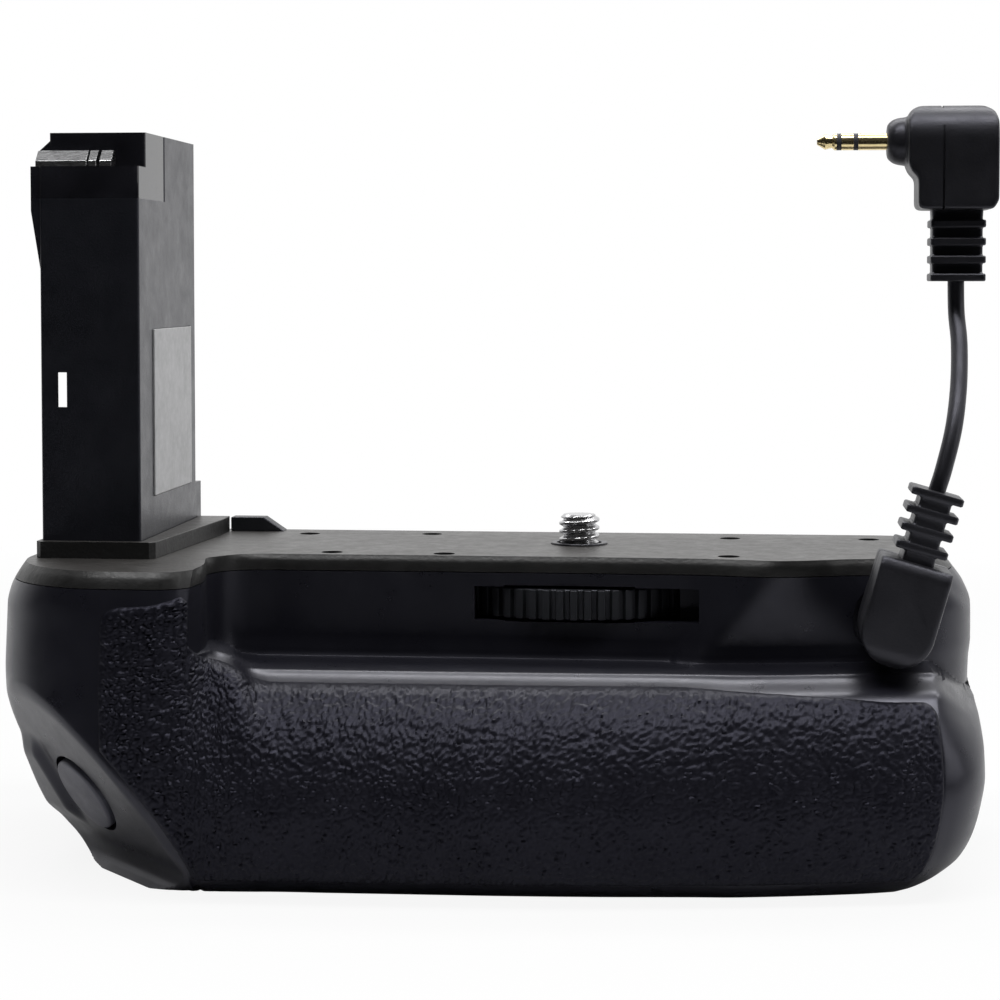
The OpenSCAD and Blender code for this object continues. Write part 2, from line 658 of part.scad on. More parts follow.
module base_screws() {
    color([0.4, 0.4, 0.42]) for (p = base_holes) translate([p[0], p[1], 2]) {
        difference() {
            translate([0, 0, -head_h]) cylinder(r = head_r, h = head_h);
            translate([-0.25, -1, -head_h - 0.5]) cube([0.5, 2, 1]);
            translate([-1, -0.25, -head_h - 0.5]) cube([2, 0.5, 1]);
        }
        translate([0, 0, -0.2]) cylinder(r = shank_r, h = shank_l);
    }
}

// Battery cradle, contacts and door

module battery_cradle() {
    color([0.16, 0.16, 0.16]) difference() {
        translate([-cradle_w / 2, cradle_y0, cradle_z]) cube([cradle_w, cradle_y1 - cradle_y0, cradle_h]);
        for (x = [-rib / 2 - bay_w, rib / 2]) translate([x, bay_y0, bay_z]) cube([bay_w, bay_d + 1, bay_h]);
    }
}

module bay_contacts() {
    color([0.8, 0.65, 0.3]) for (x = [-rib / 2 - 12, rib / 2 + bay_w - 12]) for (k = [0:2])
        translate([x + 3.6 * k, bay_y0, bay_z + 4]) {
            cube([2, 0.4, 7]);
            translate([0, 0.3, 2]) cube([2, 0.5, 3]);
        }
}

latch_w = 8;
knob_pocket = 1.4;
module battery_door() {
    color([0.11, 0.11, 0.12]) difference() {
        union() {
            translate([-door_w / 2, door_y0, hinge_z]) cube([door_w, door_t, door_top - hinge_z]);
            translate([-door_w / 2, hinge_y, hinge_z]) rotate([0, 90, 0]) cylinder(r = knuckle_r, h = door_w);
        }
        translate([-door_w / 2 - 1, hinge_y, hinge_z]) rotate([0, 90, 0])
            cylinder(r = hinge_pin_r + run_gap, h = door_w + 2);
        translate([-latch_w / 2 - run_gap, door_y0 - 1, door_top - 10.6])
            cube([latch_w + 2 * run_gap, door_t - knob_pocket + 1, 12]);
        translate([-latch_w / 2 - 1.4, door_y1 - knob_pocket - 0.1, door_top - 9])
            cube([latch_w + 2.8, knob_pocket + 1, 4.2 + latch_travel + 0.6]);
    }
}

module hinge_pin() {
    color([0.6, 0.6, 0.62]) translate([-door_w / 2 - 3.8, hinge_y, hinge_z]) rotate([0, 90, 0])
        cylinder(r = hinge_pin_r, h = door_w + 7.6);
}

module door_latch() {
    color([0.07, 0.07, 0.07]) {
        translate([-latch_w / 2, door_y0 + 0.2, door_top - 10.2])
            cube([latch_w, door_t - knob_pocket - 0.3, 10]);
        translate([-latch_w / 2 - 1, door_y1 - knob_pocket, door_top - 8.7])
            cube([latch_w + 2, knob_pocket, 4.2]);
        translate([-3, door_y0 + 1, door_top - 8.2]) cube([6, door_t - 1.5, 3]);
    }
}

// Electrics

module main_board() {
    color([0.05, 0.25, 0.12]) translate([-41, part_y - 11, lip_z + 0.2]) {
        cube([84, 22, 1.2]);
        translate([12, 5, 1.2]) cube([9, 9, 1.2]);
        translate([40, 8, 1.2]) cube([6, 5, 1]);
        translate([60, 6, 1.2]) cube([7, 7, 1.4]);
    }
}

module jack_room() {
    translate([jack_x, jack_y, jack_z]) rotate([90, 0, 0]) cylinder(r = plug_half + 0.5, h = 12);
    translate([jack_x, jack_y + 2, jack_z]) rotate([90, 0, 0]) cylinder(r = 3.3 + fix_gap, h = 4);
    translate([jack_x - jack_half, jack_y + 1, jack_z - jack_half])
        cube([2 * jack_half, jack_l - 0.8, 2 * jack_half]);
}

module jack_socket() {
    color([0.1, 0.1, 0.1]) difference() {
        union() {
            translate([jack_x, jack_y + 1.2, jack_z]) rotate([90, 0, 0]) cylinder(r = 3.3, h = 1.2);
            translate([jack_x - jack_half, jack_y + 1, jack_z - jack_half])
                cube([2 * jack_half, jack_l - 1, 2 * jack_half]);
        }
        translate([jack_x, jack_y + jack_l - 0.3, jack_z]) rotate([90, 0, 0])
            cylinder(r = pin_r + run_gap, h = jack_l + 1);
    }
}

module switch_room() {
    translate([switch_x - knob_w / 2 - 0.4, yb - 2, switch_z - knob_h / 2 - run_gap])
        cube([knob_w + knob_travel + 0.8, 4, knob_h + 2 * run_gap]);
    translate([switch_x - knob_w / 2, yb - 7, switch_z - 1.6]) cube([knob_w + knob_travel, 6, 3.2]);
}

module power_switch_body() {
    color([0.3, 0.3, 0.3]) translate([switch_x - knob_w / 2, yb - 7, switch_z - 1.6])
        cube([knob_w + knob_travel, 5, 3.2]);
}

module power_switch_knob() {
    color([0.07, 0.07, 0.07]) translate([switch_x - knob_w / 2, yb - 2, switch_z - knob_h / 2]) {
        cube([knob_w, knob_t, knob_h]);
    }
}

// Patch cord: plug built with its pin along +Y and its cord along +Z

module at_lower() {
    translate([jack_x, jack_y, jack_z]) rotate([0, plug_tilt, 0]) children();
}

module at_upper() {
    translate(upper_at) rotate([180, 0, -90]) children();
}

module plug_shape() {
    back = neck_l + plug_d;
    stem = neck_l + stem_in;
    side = [[neck_l, -3.2], [neck_l + 0.6, -4.6], [neck_l + 2.1, -5.4], [back - 2, -5.4], [back - 0.5, -4.4],
            [back, -3], [back, plug_up - 1.3], [back - 0.8, plug_up], [stem + 0.5, plug_up],
            [stem, plug_up - 0.5], [stem, stem_from + 0.3], [neck_l + 0.5, stem_from - 0.7],
            [neck_l, stem_from - 1.9]];
    rotate([90, 0, 0]) rotate_extrude() polygon([[0, 0], [neck_r - 1.1, 0], [neck_r - 0.3, 0.9],
        [neck_r, 2], [neck_r, neck_l + 1], [0, neck_l + 1]]);
    intersection() {
        translate([0, 1 - neck_l, 0]) rotate([90, 0, 0]) linear_extrude(height = plug_d + 2) {
            circle(r = plug_half);
            translate([-plug_half, 0]) square([2 * plug_half, plug_up + 1]);
        }
        translate([-plug_half - 1, 0, 0]) rotate([90, 0, 90]) linear_extrude(height = 2 * plug_half + 2)
            polygon([for (q = side) [-q[0], q[1]]]);
    }
}

module pin_shape() {
    rotate([-90, 0, 0]) rotate_extrude() polygon([[0, -pin_in], [root_r, -pin_in], [root_r, 0], [pin_r, 0],
        [pin_r, pin_l - 2.6], [pin_r - 0.35, pin_l - 2.2], [pin_r - 0.1, pin_l - 1.2], [0.4, pin_l],
        [0, pin_l]]);
}

module relief_shape() {
    pitch = relief_l / 4;
    translate([0, -cord_at, plug_up]) {
        translate([-relief_core, -relief_side, 0]) cube([2 * relief_core, 2 * relief_side, relief_l]);
        for (k = [0:3]) translate([-relief_rib, -relief_side, k * pitch + pitch - rib_t])
            cube([2 * relief_rib, 2 * relief_side, rib_t]);
    }
}

module lower_plug_body() {
    color([0.09, 0.09, 0.1]) difference() {
        at_lower() plug_shape();
        at_lower() rotate([90, 0, 0]) cylinder(r = root_r + fix_gap, h = pin_in + fix_gap);
    }
}

module lower_plug_pin() {
    color([0.8, 0.65, 0.3]) at_lower() pin_shape();
}

module lower_relief() {
    color([0.09, 0.09, 0.1]) at_lower() relief_shape();
}

module upper_plug_body() {
    color([0.09, 0.09, 0.1]) difference() {
        at_upper() plug_shape();
        at_upper() rotate([90, 0, 0]) cylinder(r = root_r + fix_gap, h = pin_in + fix_gap);
    }
}

ring_at = [4.2, 6.7];
ring_l = 0.7;
ring_in = 0.3;
module upper_plug_pin() {
    color([0.8, 0.65, 0.3]) at_upper() difference() {
        pin_shape();
        for (y = ring_at) translate([0, y, 0]) rotate([-90, 0, 0]) difference() {
            cylinder(r = pin_r + 1, h = ring_l);
            cylinder(r = pin_r - ring_in, h = ring_l);
        }
    }
}

module upper_plug_rings() {
    color([0.05, 0.05, 0.05]) at_upper() for (y = ring_at) translate([0, y, 0]) rotate([-90, 0, 0])
        difference() {
            cylinder(r = pin_r, h = ring_l);
            translate([0, 0, -1]) cylinder(r = pin_r - ring_in, h = ring_l + 2);
        }
}

module upper_relief() {
    color([0.09, 0.09, 0.1]) at_upper() relief_shape();
}

// Route of the cord from the lower strain relief to the upper one
plug_len = plug_up + relief_l;
lean = [sin(plug_tilt), 0, cos(plug_tilt)];
cord_start = [jack_x, jack_y - cord_at, jack_z] + lean * plug_len;
cord_end = upper_at + [cord_at, 0, -plug_len];
cord_bends = [[1, 0.2, 3.3], [2.5, 2.2, 9], [3.5, 6.4, 15], [3.9, 10.8, 21], [3.7, 13.7, 25.4]];
route = concat([cord_start], [for (b = cord_bends) cord_start + b], [cord_end]);
spans = len(route) - 1;
function way(k) = k == 0 ? lean * 3.4 : k == spans ? [0, 0, 1] * 3
    : (route[k + 1] - route[k - 1]) / 2;
function spline(k, t) = let (a = t * t, b = a * t)
    route[k] * (2 * b - 3 * a + 1) + way(k) * (b - 2 * a + t)
    + route[k + 1] * (3 * a - 2 * b) + way(k + 1) * (b - a);
function slope(k, t) = let (a = t * t, d = route[k] * (6 * a - 6 * t) + way(k) * (3 * a - 4 * t + 1)
    + route[k + 1] * (6 * t - 6 * a) + way(k + 1) * (3 * a - 2 * t)) d / norm(d);
cord_sides = 8;
module cord() {
    steps = 2;
    stations = concat([for (k = [0:spans - 1]) for (s = [0:steps - 1]) [k, s / steps]], [[spans - 1, 1]]);
    n = len(stations);
    points = [for (s = stations) let (c = spline(s[0], s[1]), t = slope(s[0], s[1]),
        u0 = cross([0, 1, 0], t), u = u0 / norm(u0), v = cross(t, u))
        for (q = [0:cord_sides - 1]) let (a = q * 360 / cord_sides) c + cord_r * (u * cos(a) + v * sin(a))];
    function id(r, q) = r * cord_sides + q % cord_sides;
    walls = [for (r = [0:n - 2]) for (q = [0:cord_sides - 1])
        each [[id(r, q), id(r + 1, q), id(r + 1, q + 1)], [id(r, q), id(r + 1, q + 1), id(r, q + 1)]]];
    caps = [[for (q = [0:cord_sides - 1]) id(0, q)], [for (q = [cord_sides - 1:-1:0]) id(n - 1, q)]];
    color([0.06, 0.06, 0.07]) polyhedron(points, concat(walls, caps));
}

front_housing();
rear_housing();
top_plate();
grip_rubber();
shutter_button();
shutter_switch();
button_dome();
thumbwheel();
tripod_screw();
wheel_washer();
screw_bushing();
tripod_socket();
column_shell();
contact_block();
column_cap();
column_contacts();
column_label();
column_collar();
rear_tab();
plate_screws();
base_screws();
battery_cradle();
bay_contacts();
battery_door();
hinge_pin();
door_latch();
main_board();
jack_socket();
power_switch_body();
power_switch_knob();
lower_plug_body();
lower_plug_pin();
lower_relief();
cord();
upper_relief();
upper_plug_body();
upper_plug_pin();
upper_plug_rings();
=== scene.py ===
"""Looks of the camera battery grip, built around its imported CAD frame."""
import json
import math

import bmesh
import bpy
import numpy as np
from mathutils import Matrix, Vector


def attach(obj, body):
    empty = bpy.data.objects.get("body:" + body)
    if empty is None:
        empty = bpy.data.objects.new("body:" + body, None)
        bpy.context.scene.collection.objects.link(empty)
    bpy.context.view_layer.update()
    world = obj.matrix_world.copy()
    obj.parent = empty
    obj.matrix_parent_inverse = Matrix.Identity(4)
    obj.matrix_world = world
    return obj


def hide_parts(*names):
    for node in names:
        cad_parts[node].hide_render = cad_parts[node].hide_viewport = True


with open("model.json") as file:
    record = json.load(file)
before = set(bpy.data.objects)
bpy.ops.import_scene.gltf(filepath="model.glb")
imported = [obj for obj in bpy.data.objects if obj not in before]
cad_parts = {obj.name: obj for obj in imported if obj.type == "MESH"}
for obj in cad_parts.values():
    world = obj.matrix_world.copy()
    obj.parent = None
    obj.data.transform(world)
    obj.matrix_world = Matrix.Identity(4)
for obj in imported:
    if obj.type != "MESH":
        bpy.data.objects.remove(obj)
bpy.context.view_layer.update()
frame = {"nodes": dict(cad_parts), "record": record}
nodes = frame["nodes"]
scene = bpy.context.scene
scene.view_settings.view_transform = "Standard"
MM = 0.001


# Camera: nearly level, for the photograph's upright lines, with the rest of the frame's drop taken as shift

def make_camera():
    data = bpy.data.cameras.new("camera")
    cam = bpy.data.objects.new("camera", data)
    scene.collection.objects.link(cam)
    data.sensor_width = 36
    data.lens = 89.532
    data.clip_start = 0.01
    data.clip_end = 20
    data.shift_x = 0.0187
    data.shift_y = -0.09
    cam.location = (0.03606, -0.37692, 0.08771)
    cam.rotation_euler = (math.radians(87.02), 0, math.radians(5.87))
    scene.camera = cam


make_camera()


# Materials

class Nodes:
    """A material's node tree with short calls to add and link nodes."""

    def __init__(self, name):
        self.mat = bpy.data.materials.new(name)
        self.mat.use_nodes = True
        self.tree = self.mat.node_tree
        self.bsdf = self.tree.nodes["Principled BSDF"]
        self.coords = self.add("ShaderNodeTexCoord").outputs["Object"]

    def add(self, kind, **props):
        n = self.tree.nodes.new(kind)
        for k, v in props.items():
            setattr(n, k, v)
        return n

    def link(self, a, b):
        self.tree.links.new(a, b)

    def noise(self, scale, detail=3.0, rough=0.55, stretch=None):
        n = self.add("ShaderNodeTexNoise")
        n.inputs["Scale"].default_value = scale
        n.inputs["Detail"].default_value = detail
        n.inputs["Roughness"].default_value = rough
        src = self.coords
        if stretch:
            m = self.add("ShaderNodeMapping")
            m.inputs["Scale"].default_value = stretch
            self.link(self.coords, m.inputs["Vector"])
            src = m.outputs["Vector"]
        self.link(src, n.inputs["Vector"])
        return n.outputs["Fac"]

    def cells(self, scale, feature="SMOOTH_F1"):
        n = self.add("ShaderNodeTexVoronoi", feature=feature)
        n.inputs["Scale"].default_value = scale
        self.link(self.coords, n.inputs["Vector"])
        return n.outputs["Distance"]

    def spread(self, value, low, high, a=0.3, b=0.7):
        n = self.add("ShaderNodeMapRange")
        n.inputs["From Min"].default_value = a
        n.inputs["From Max"].default_value = b
        n.inputs["To Min"].default_value = low
        n.inputs["To Max"].default_value = high
        self.link(value, n.inputs["Value"])
        return n.outputs["Result"]

    def tint(self, value, dark, light, a=0.3, b=0.7):
        n = self.add("ShaderNodeValToRGB")
        n.color_ramp.elements[0].position = a
        n.color_ramp.elements[1].position = b
        n.color_ramp.elements[0].color = (*dark, 1)
        n.color_ramp.elements[1].color = (*light, 1)
        self.link(value, n.inputs["Fac"])
        self.link(n.outputs["Color"], self.bsdf.inputs["Base Color"])
        return self

    def rough(self, value, low, high):
        self.link(self.spread(value, low, high), self.bsdf.inputs["Roughness"])
        return self

    def bump(self, value, depth, strength=1.0, below=None):
        n = self.add("ShaderNodeBump")
        n.inputs["Strength"].default_value = strength
        n.inputs["Distance"].default_value = depth
        self.link(value, n.inputs["Height"])
        if below:
            self.link(below, n.inputs["Normal"])
        self.link(n.outputs["Normal"], self.bsdf.inputs["Normal"])
        return n.outputs["Normal"]

    def set(self, **values):
        for k, v in values.items():
            self.bsdf.inputs[k.replace("_", " ")].default_value = v
        return self


def moulded(name, colour, rough=(0.3, 0.42), grain=6000, depth=0.00002, lighter=1.35):
    """Moulded plastic: fine spark-eroded grain, soft wear and handling marks in the roughness."""
    m = Nodes(name)
    wide = m.noise(70, 4, 0.6)
    fine = m.noise(grain, 2, 0.6)
    m.tint(wide, colour, tuple(c * lighter for c in colour))
    m.rough(m.noise(260, 5, 0.7), *rough)
    m.bump(fine, depth, 0.6)
    m.set(Specular_Tint=(0.86, 0.86, 1.0, 1.0))
    return m.mat


def metal(name, colour, rough=(0.18, 0.32), stretch=(1, 1, 40)):
    m = Nodes(name)
    streak = m.noise(700, 4, 0.65, stretch)
    m.tint(streak, tuple(c * 0.8 for c in colour), colour)
    m.rough(streak, *rough)
    m.bump(streak, 0.00001, 0.3)
    m.set(Metallic=1.0)
    return m.mat


def pebbled_rubber(name):
    m = Nodes(name)
    pores = m.noise(5200, 3, 0.6)
    m.tint(m.noise(160, 4, 0.6), (0.0062, 0.0062, 0.0090), (0.0105, 0.0105, 0.0145))
    m.rough(m.noise(900, 4, 0.7), 0.34, 0.48)
    m.bump(pores, 0.00003, 0.5)
    m.set(Specular_IOR_Level=0.19, Specular_Tint=(0.74, 0.74, 1.0, 1.0))
    return m.mat


def grained_plate(name):
    m = Nodes(name)
    grain = m.cells(1900)
    dust = m.noise(3800, 3, 0.7)
    # Painted light: the plate's colour is lighter only where its surface faces up, multiplied by a dust noise, so the
    # top reads lit and the sides and rounded edges stay dark.
    up = m.add("ShaderNodeSeparateXYZ")
    m.link(m.add("ShaderNodeNewGeometry").outputs["Normal"], up.inputs[0])
    dust_and_painted_top_light = m.add("ShaderNodeMath")
    dust_and_painted_top_light.operation = "MULTIPLY"
    m.link(dust, dust_and_painted_top_light.inputs[0])
    m.link(m.spread(up.outputs["Z"], 0.0, 1.0, 0.86, 0.985), dust_and_painted_top_light.inputs[1])
    m.tint(dust_and_painted_top_light.outputs[0], (0.009, 0.0088, 0.0088), (0.036, 0.0335, 0.0315), 0.1, 0.65)
    m.rough(m.noise(420, 5, 0.7), 0.34, 0.5)
    first = m.bump(grain, 0.00006, 0.5)
    m.bump(dust, 0.00002, 0.5, first)
    return m.mat


def label_film(name):
    m = Nodes(name)
    m.tint(m.noise(240, 5, 0.65), (0.30, 0.30, 0.305), (0.40, 0.40, 0.41))
    m.rough(m.noise(900, 3, 0.6), 0.32, 0.5)
    m.bump(m.noise(3000, 2, 0.5), 0.00001, 0.4)
    return m.mat


def circuit_board(name):
    m = Nodes(name)
    m.tint(m.cells(420, "F1"), (0.008, 0.07, 0.03), (0.02, 0.16, 0.07), 0.2, 0.6)
    m.rough(m.noise(600, 3, 0.6), 0.25, 0.45)
    m.bump(m.cells(420, "F1"), 0.00003, 0.4)
    return m.mat


def glossy(name):
    m = Nodes(name)
    m.tint(m.noise(120, 4, 0.6), (0.006, 0.006, 0.008), (0.014, 0.014, 0.018))
    m.rough(m.noise(500, 5, 0.75), 0.06, 0.16)
    m.bump(m.noise(260, 3, 0.5), 0.00002, 0.3)
    return m.mat


MATS = {
    "housing": moulded("housing_plastic", (0.0072, 0.0072, 0.0105), (0.26, 0.36), 7000, 0.000012),
    "plate": grained_plate("plate_plastic"),
    "grip_rubber": pebbled_rubber("grip_rubber"),
    "button": moulded("button_plastic", (0.046, 0.046, 0.058), (0.36, 0.5)),
    "inner_plastic": moulded("inner_plastic", (0.022, 0.022, 0.023), (0.5, 0.65)),
    "silicone": moulded("silicone", (0.24, 0.24, 0.24), (0.5, 0.6), lighter=1.1),
    "wheel": moulded("wheel_plastic", (0.010, 0.011, 0.012), (0.34, 0.5)),
    "steel": metal("turned_steel", (0.62, 0.62, 0.63)),
    "dark_steel": metal("dark_steel", (0.10, 0.10, 0.11), (0.3, 0.45)),
    "column": moulded("column_plastic", (0.0075, 0.0080, 0.0105), (0.28, 0.40), 3000, 0.00006),
    "contact_block": glossy("gloss_plastic"),
    "gold": metal("gold_plate", (0.90, 0.74, 0.40), (0.16, 0.28)),
    "label": label_film("label_film"),
    "board": circuit_board("circuit_board"),
    "cable": moulded("cable_rubber", (0.008, 0.008, 0.0095), (0.36, 0.5), 2600, 0.00004),
}
SLOT_OF = {s["node"]: s["material_slot"] for s in frame["record"]["subparts"]}


def paint(obj, slot):
    obj.data.materials.clear()
    obj.data.materials.append(MATS[slot])
    return obj


# Mesh helpers, in millimetres

def make_object(name, verts, faces):
    mesh = bpy.data.meshes.new(name)
    mesh.from_pydata([tuple(float(c) * MM for c in v) for v in verts], [], faces)
    mesh.validate()
    obj = bpy.data.objects.new(name, mesh)
    scene.collection.objects.link(obj)
    return obj


def stack_faces(rows, n):
    """Faces of a closed solid whose points are stacked rings of n, with a cap at each end."""
    faces = [(r * n + i, r * n + (i + 1) % n, (r + 1) * n + (i + 1) % n, (r + 1) * n + i)
             for r in range(rows - 1) for i in range(n)]
    faces.append(tuple(range(n - 1, -1, -1)))
    faces.append(tuple(range((rows - 1) * n, rows * n)))
    return faces


def box_cutter(lo, size, turn=None):
    x0, y0, z0 = lo
    x1, y1, z1 = (lo[k] + size[k] for k in range(3))
    v = [(x, y, z) for z in (z0, z1) for x, y in ((x0, y0), (x1, y0), (x1, y1), (x0, y1))]
    f = [(3, 2, 1, 0), (4, 5, 6, 7), (0, 1, 5, 4), (1, 2, 6, 5), (2, 3, 7, 6), (3, 0, 4, 7)]
    return placed(make_object("cutter", v, f), turn)


def tube_cutter(base, r, h, axis=(0, 0, 1), turn=None, sides=64):
    q = Vector((0, 0, 1)).rotation_difference(Vector(axis))
    ring = [(r * math.cos(2 * math.pi * k / sides), r * math.sin(2 * math.pi * k / sides)) for k in range(sides)]
    v = [Vector(base) + q @ Vector((x, y, z)) for z in (0, h) for x, y in ring]
    f = [tuple(range(sides - 1, -1, -1)), tuple(range(sides, 2 * sides))]
    f += [(k, (k + 1) % sides, sides + (k + 1) % sides, sides + k) for k in range(sides)]
    return placed(make_object("cutter", v, f), turn)


def placed(obj, turn):
    if turn is not None:
        obj.data.transform(turn)
    return obj


def settle(obj, angle=34):
    """Applies the modifiers to a made piece and shades it smooth up to an angle."""
    bpy.context.view_layer.update()
    dg = bpy.context.evaluated_depsgraph_get()
    mesh = bpy.data.meshes.new_from_object(obj.evaluated_get(dg))
    old = obj.data
    obj.modifiers.clear()
    obj.data = mesh
    bpy.data.meshes.remove(old)
    smooth(obj, angle)
    return obj


def smooth(obj, angle=34):
    obj.data.polygons.foreach_set("use_smooth", [True] * len(obj.data.polygons))
    obj.data.set_sharp_from_angle(angle=math.radians(angle))
    return obj


def carve(obj, cutters):
    """Takes the cutters out of a piece and deletes them."""
    for c in cutters:
        m = obj.modifiers.new("cut", "BOOLEAN")
        m.operation = "DIFFERENCE"
        m.solver = "MANIFOLD"
        m.object = c
    settle(obj)
    for c in cutters:
        mesh = c.data
        bpy.data.objects.remove(c)
        bpy.data.meshes.remove(mesh)
    return obj


def clear_slivers(obj, size=0.025):
    """Takes out needle faces that the cuts leave, which show as specks in the smooth shading."""
    bm = bmesh.new()
    bm.from_mesh(obj.data)
    bmesh.ops.dissolve_degenerate(bm, dist=size * MM, edges=bm.edges)
    bm.to_mesh(obj.data)
    bm.free()
    return smooth(obj)


def soften(obj, width, segments=3, angle=35):
    m = obj.modifiers.new("weld", "WELD")
    m.merge_threshold = 0.000004
    m = obj.modifiers.new("edges", "BEVEL")
    m.width = width * MM
    m.segments = segments
    m.limit_method = "ANGLE"
    m.angle_limit = math.radians(angle)
    m.harden_normals = False
    m = obj.modifiers.new("normals", "WEIGHTED_NORMAL")
    m.keep_sharp = True
    return obj


# Body skin: the outlines and tables of the CAD loft, drawn with smooth curves. The edge of the lip, and the rim and the
# foot of the shutter facet, are the scene's own.

HW, YF, YB = 72.0, -37.0, 37.0
RECESS_Y, LOBE_Y = -7.0, -33.0
PLATE_Z, SEAM_Z, LIP_Z = 46.3, 43.9, 30.6
PLATE_REF = 46.0
SCREW = (11.5, 13.0)
PART_Y = 8.2


def curve(table):
    """Smooth monotone curve through a table of points."""
    xs, ys = np.array(table, float).T
    h = np.diff(xs)
    d = np.diff(ys) / h
    m = np.zeros_like(xs)
    m[0], m[-1] = d[0], d[-1]
    both = d[:-1] * d[1:] > 0
    a = np.where(both, d[:-1], 1.0)
    b = np.where(both, d[1:], 1.0)
    w1, w2 = 2 * h[1:] + h[:-1], h[1:] + 2 * h[:-1]
    m[1:-1] = np.where(both, (w1 + w2) / (w1 / a + w2 / b), 0.0)

    def f(x):
        x = np.clip(np.asarray(x, float), xs[0], xs[-1])
        k = np.clip(np.searchsorted(xs, x, side="right") - 1, 0, len(h) - 1)
        t = (x - xs[k]) / h[k]
        return ((1 + 2 * t) * (1 - t) ** 2 * ys[k] + t * (1 - t) ** 2 * h[k] * m[k]
                + t * t * (3 - 2 * t) * ys[k + 1] + t * t * (t - 1) * h[k] * m[k + 1])
    return f


left_in = curve([(0, 13), (0.5, 11.6), (1.4, 10.2), (2.6, 8.8), (5, 6.2), (8.5, 4), (12.5, 2.9), (16.5, 2.4),
                 (20, 1.9), (23, 1.3), (25.5, 0.8), (28, 0.3), (32, 0), (40, 0.1), (42.6, 0.7), (44, 1.4),
                 (46, 2.6)])
right_in = curve([(0, 11), (0.5, 9), (1.4, 7.3), (2.6, 5.7), (5, 3.3), (8.5, 1.6), (12.5, 0.6), (16.5, 0),
                  (20, 0), (23, 0.2), (25.5, 0.4), (30, 0.3), (33, 0), (38, 0), (41.5, 1.2), (43.6, 2.8),
                  (45, 4.2), (46, 5.4)])
back_in = curve([(0, 6.5), (0.5, 4.6), (1.4, 3.2), (2.6, 1.9), (5, 0.6), (7.4, 0), (42.2, 0), (43.6, 1.2),
                 (45, 4.6), (46, 6.4)])
grip_blend = curve([(-30.6, 0.72), (-30.1, 0.79), (-29.2, 0.845), (-28, 0.89), (-25.6, 0.945), (-22.1, 0.98),
                    (-18.1, 1), (-14.1, 0.985), (-10.6, 0.94), (-7.6, 0.878), (-5.1, 0.806), (-3.4, 0.737),
                    (-1.9, 0.66), (-1.4, 0.605), (-1.0, 0.55), (-0.6, 0.503), (-0.25, 0.472), (0, 0.456),
                    (0.16, 0.445), (0.3, 0.42), (0.36, 0.3), (0.42, 0.012), (1.6, 0.004), (3.4, 0), (13, 0),
                    (14.4, -0.006), (15.4, -0.025)])
lobe_blend = curve([(0, -1.1), (0.5, -0.5), (1.4, -0.05), (2.6, 0.3), (5, 0.6), (8.5, 0.85), (12.5, 1),
                    (16.5, 0.97), (20, 0.88), (25.5, 0.66), (30.6, 0.42), (37, 0.18), (43.6, 0), (45, -0.12),
                    (46, -0.3)])
front_table = [(-46, 0), (-20, 0.4), (0, 1.1), (10, 1.8), (20, 2.8), (30, 4.2), (40, 5.8), (50, 7.6), (60, 9.4)]


def front_back(x):
    return float(np.interp(x, *np.array(front_table, float).T))


def arc(cx, cy, r, angles):
    return [(cx + r * math.cos(math.radians(a)), cy + r * math.sin(math.radians(a))) for a in angles]


corner_lobe = [180, 196, 212, 228, 243, 255, 263, 266.9, 267.5]
corner_right = [270, 297, 298.5, 312, 326, 343, 360]
corner_back = [0, 22, 45, 68, 90]
lobe_x = -HW + 31.2
wall_x = [-28, -18, -8, 2, 12, 22, 30, 35, 40, 45, 50, 54]
wall_dy = [0.1, 0.25, 0.32, 0.32, 0.25, 0.1, -0.2, -1, -2, -1.2, 0.2, 1.4]
grip_x = [-49, -46.6, -44.2, -41.8, -41.5, -39, -36.4, -34, -31.6, -29.2, -26.6, -20, -13, -6, 1, 9, 18, 26,
          32, 38, 44, 50, 55]
rear_line = (arc(HW - 10, YB - 10, 10, corner_back) + [(x, YB) for x in (40, 13, -15, -40)]
             + arc(-HW + 10, YB - 10, 10, [a + 90 for a in corner_back]))
recess_line = np.array(
    arc(-HW + 19, LOBE_Y + 19, 19, corner_lobe)
    + arc(lobe_x - 6, LOBE_Y + 6, 6, [270, 290, 310, 328, 331])
    + [(lobe_x - 0.25, LOBE_Y + 9), (lobe_x - 0.9, LOBE_Y + 14.5)]
    + arc(lobe_x + 5.4, RECESS_Y - 7, 7, [175, 148, 118, 90])
    + [(x, RECESS_Y + d) for x, d in zip(wall_x, wall_dy)]
    + arc(HW - 15, RECESS_Y + 17, 15, corner_right) + rear_line)
grip_line = np.array(
    arc(-HW + 19, YF + 19, 19, corner_lobe)
    + [(x, YF + front_back(x)) for x in grip_x]
    + arc(HW - 12, YF + front_back(60) + 12, 12, corner_right) + rear_line)
COLS = len(recess_line)
share_low = curve(list(enumerate([0.0] * 10 + [0.12, 0.3, 0.5, 0.52, 0.82, 0.92, 0.97, 0.99] + [1.0] * (COLS - 18)))
                  + [(COLS, 0.0)])
share_lip = curve(list(enumerate([0.0] * 13 + [0.05, 0.25, 0.55, 0.85] + [1.0] * (COLS - 17))) + [(COLS, 0.0)])
rise_at = curve(list(enumerate([0.0] * 13 + [3, 3.2, 3.3, 3, 2.3, 0.35] + [0.0] * 16
                               + [-2, -5, -7.5, -8] + [0.0] * (COLS - 38))))
ridge_at = curve([(0, 0), (24, 0), (25, 0.12), (26, 0.45), (27, 0.85), (28, 1), (29, 0.8), (30, 0.4), (31, 0),
                  (COLS, 0)])
RUB_LEFT, RUB_RIGHT = 8, 33


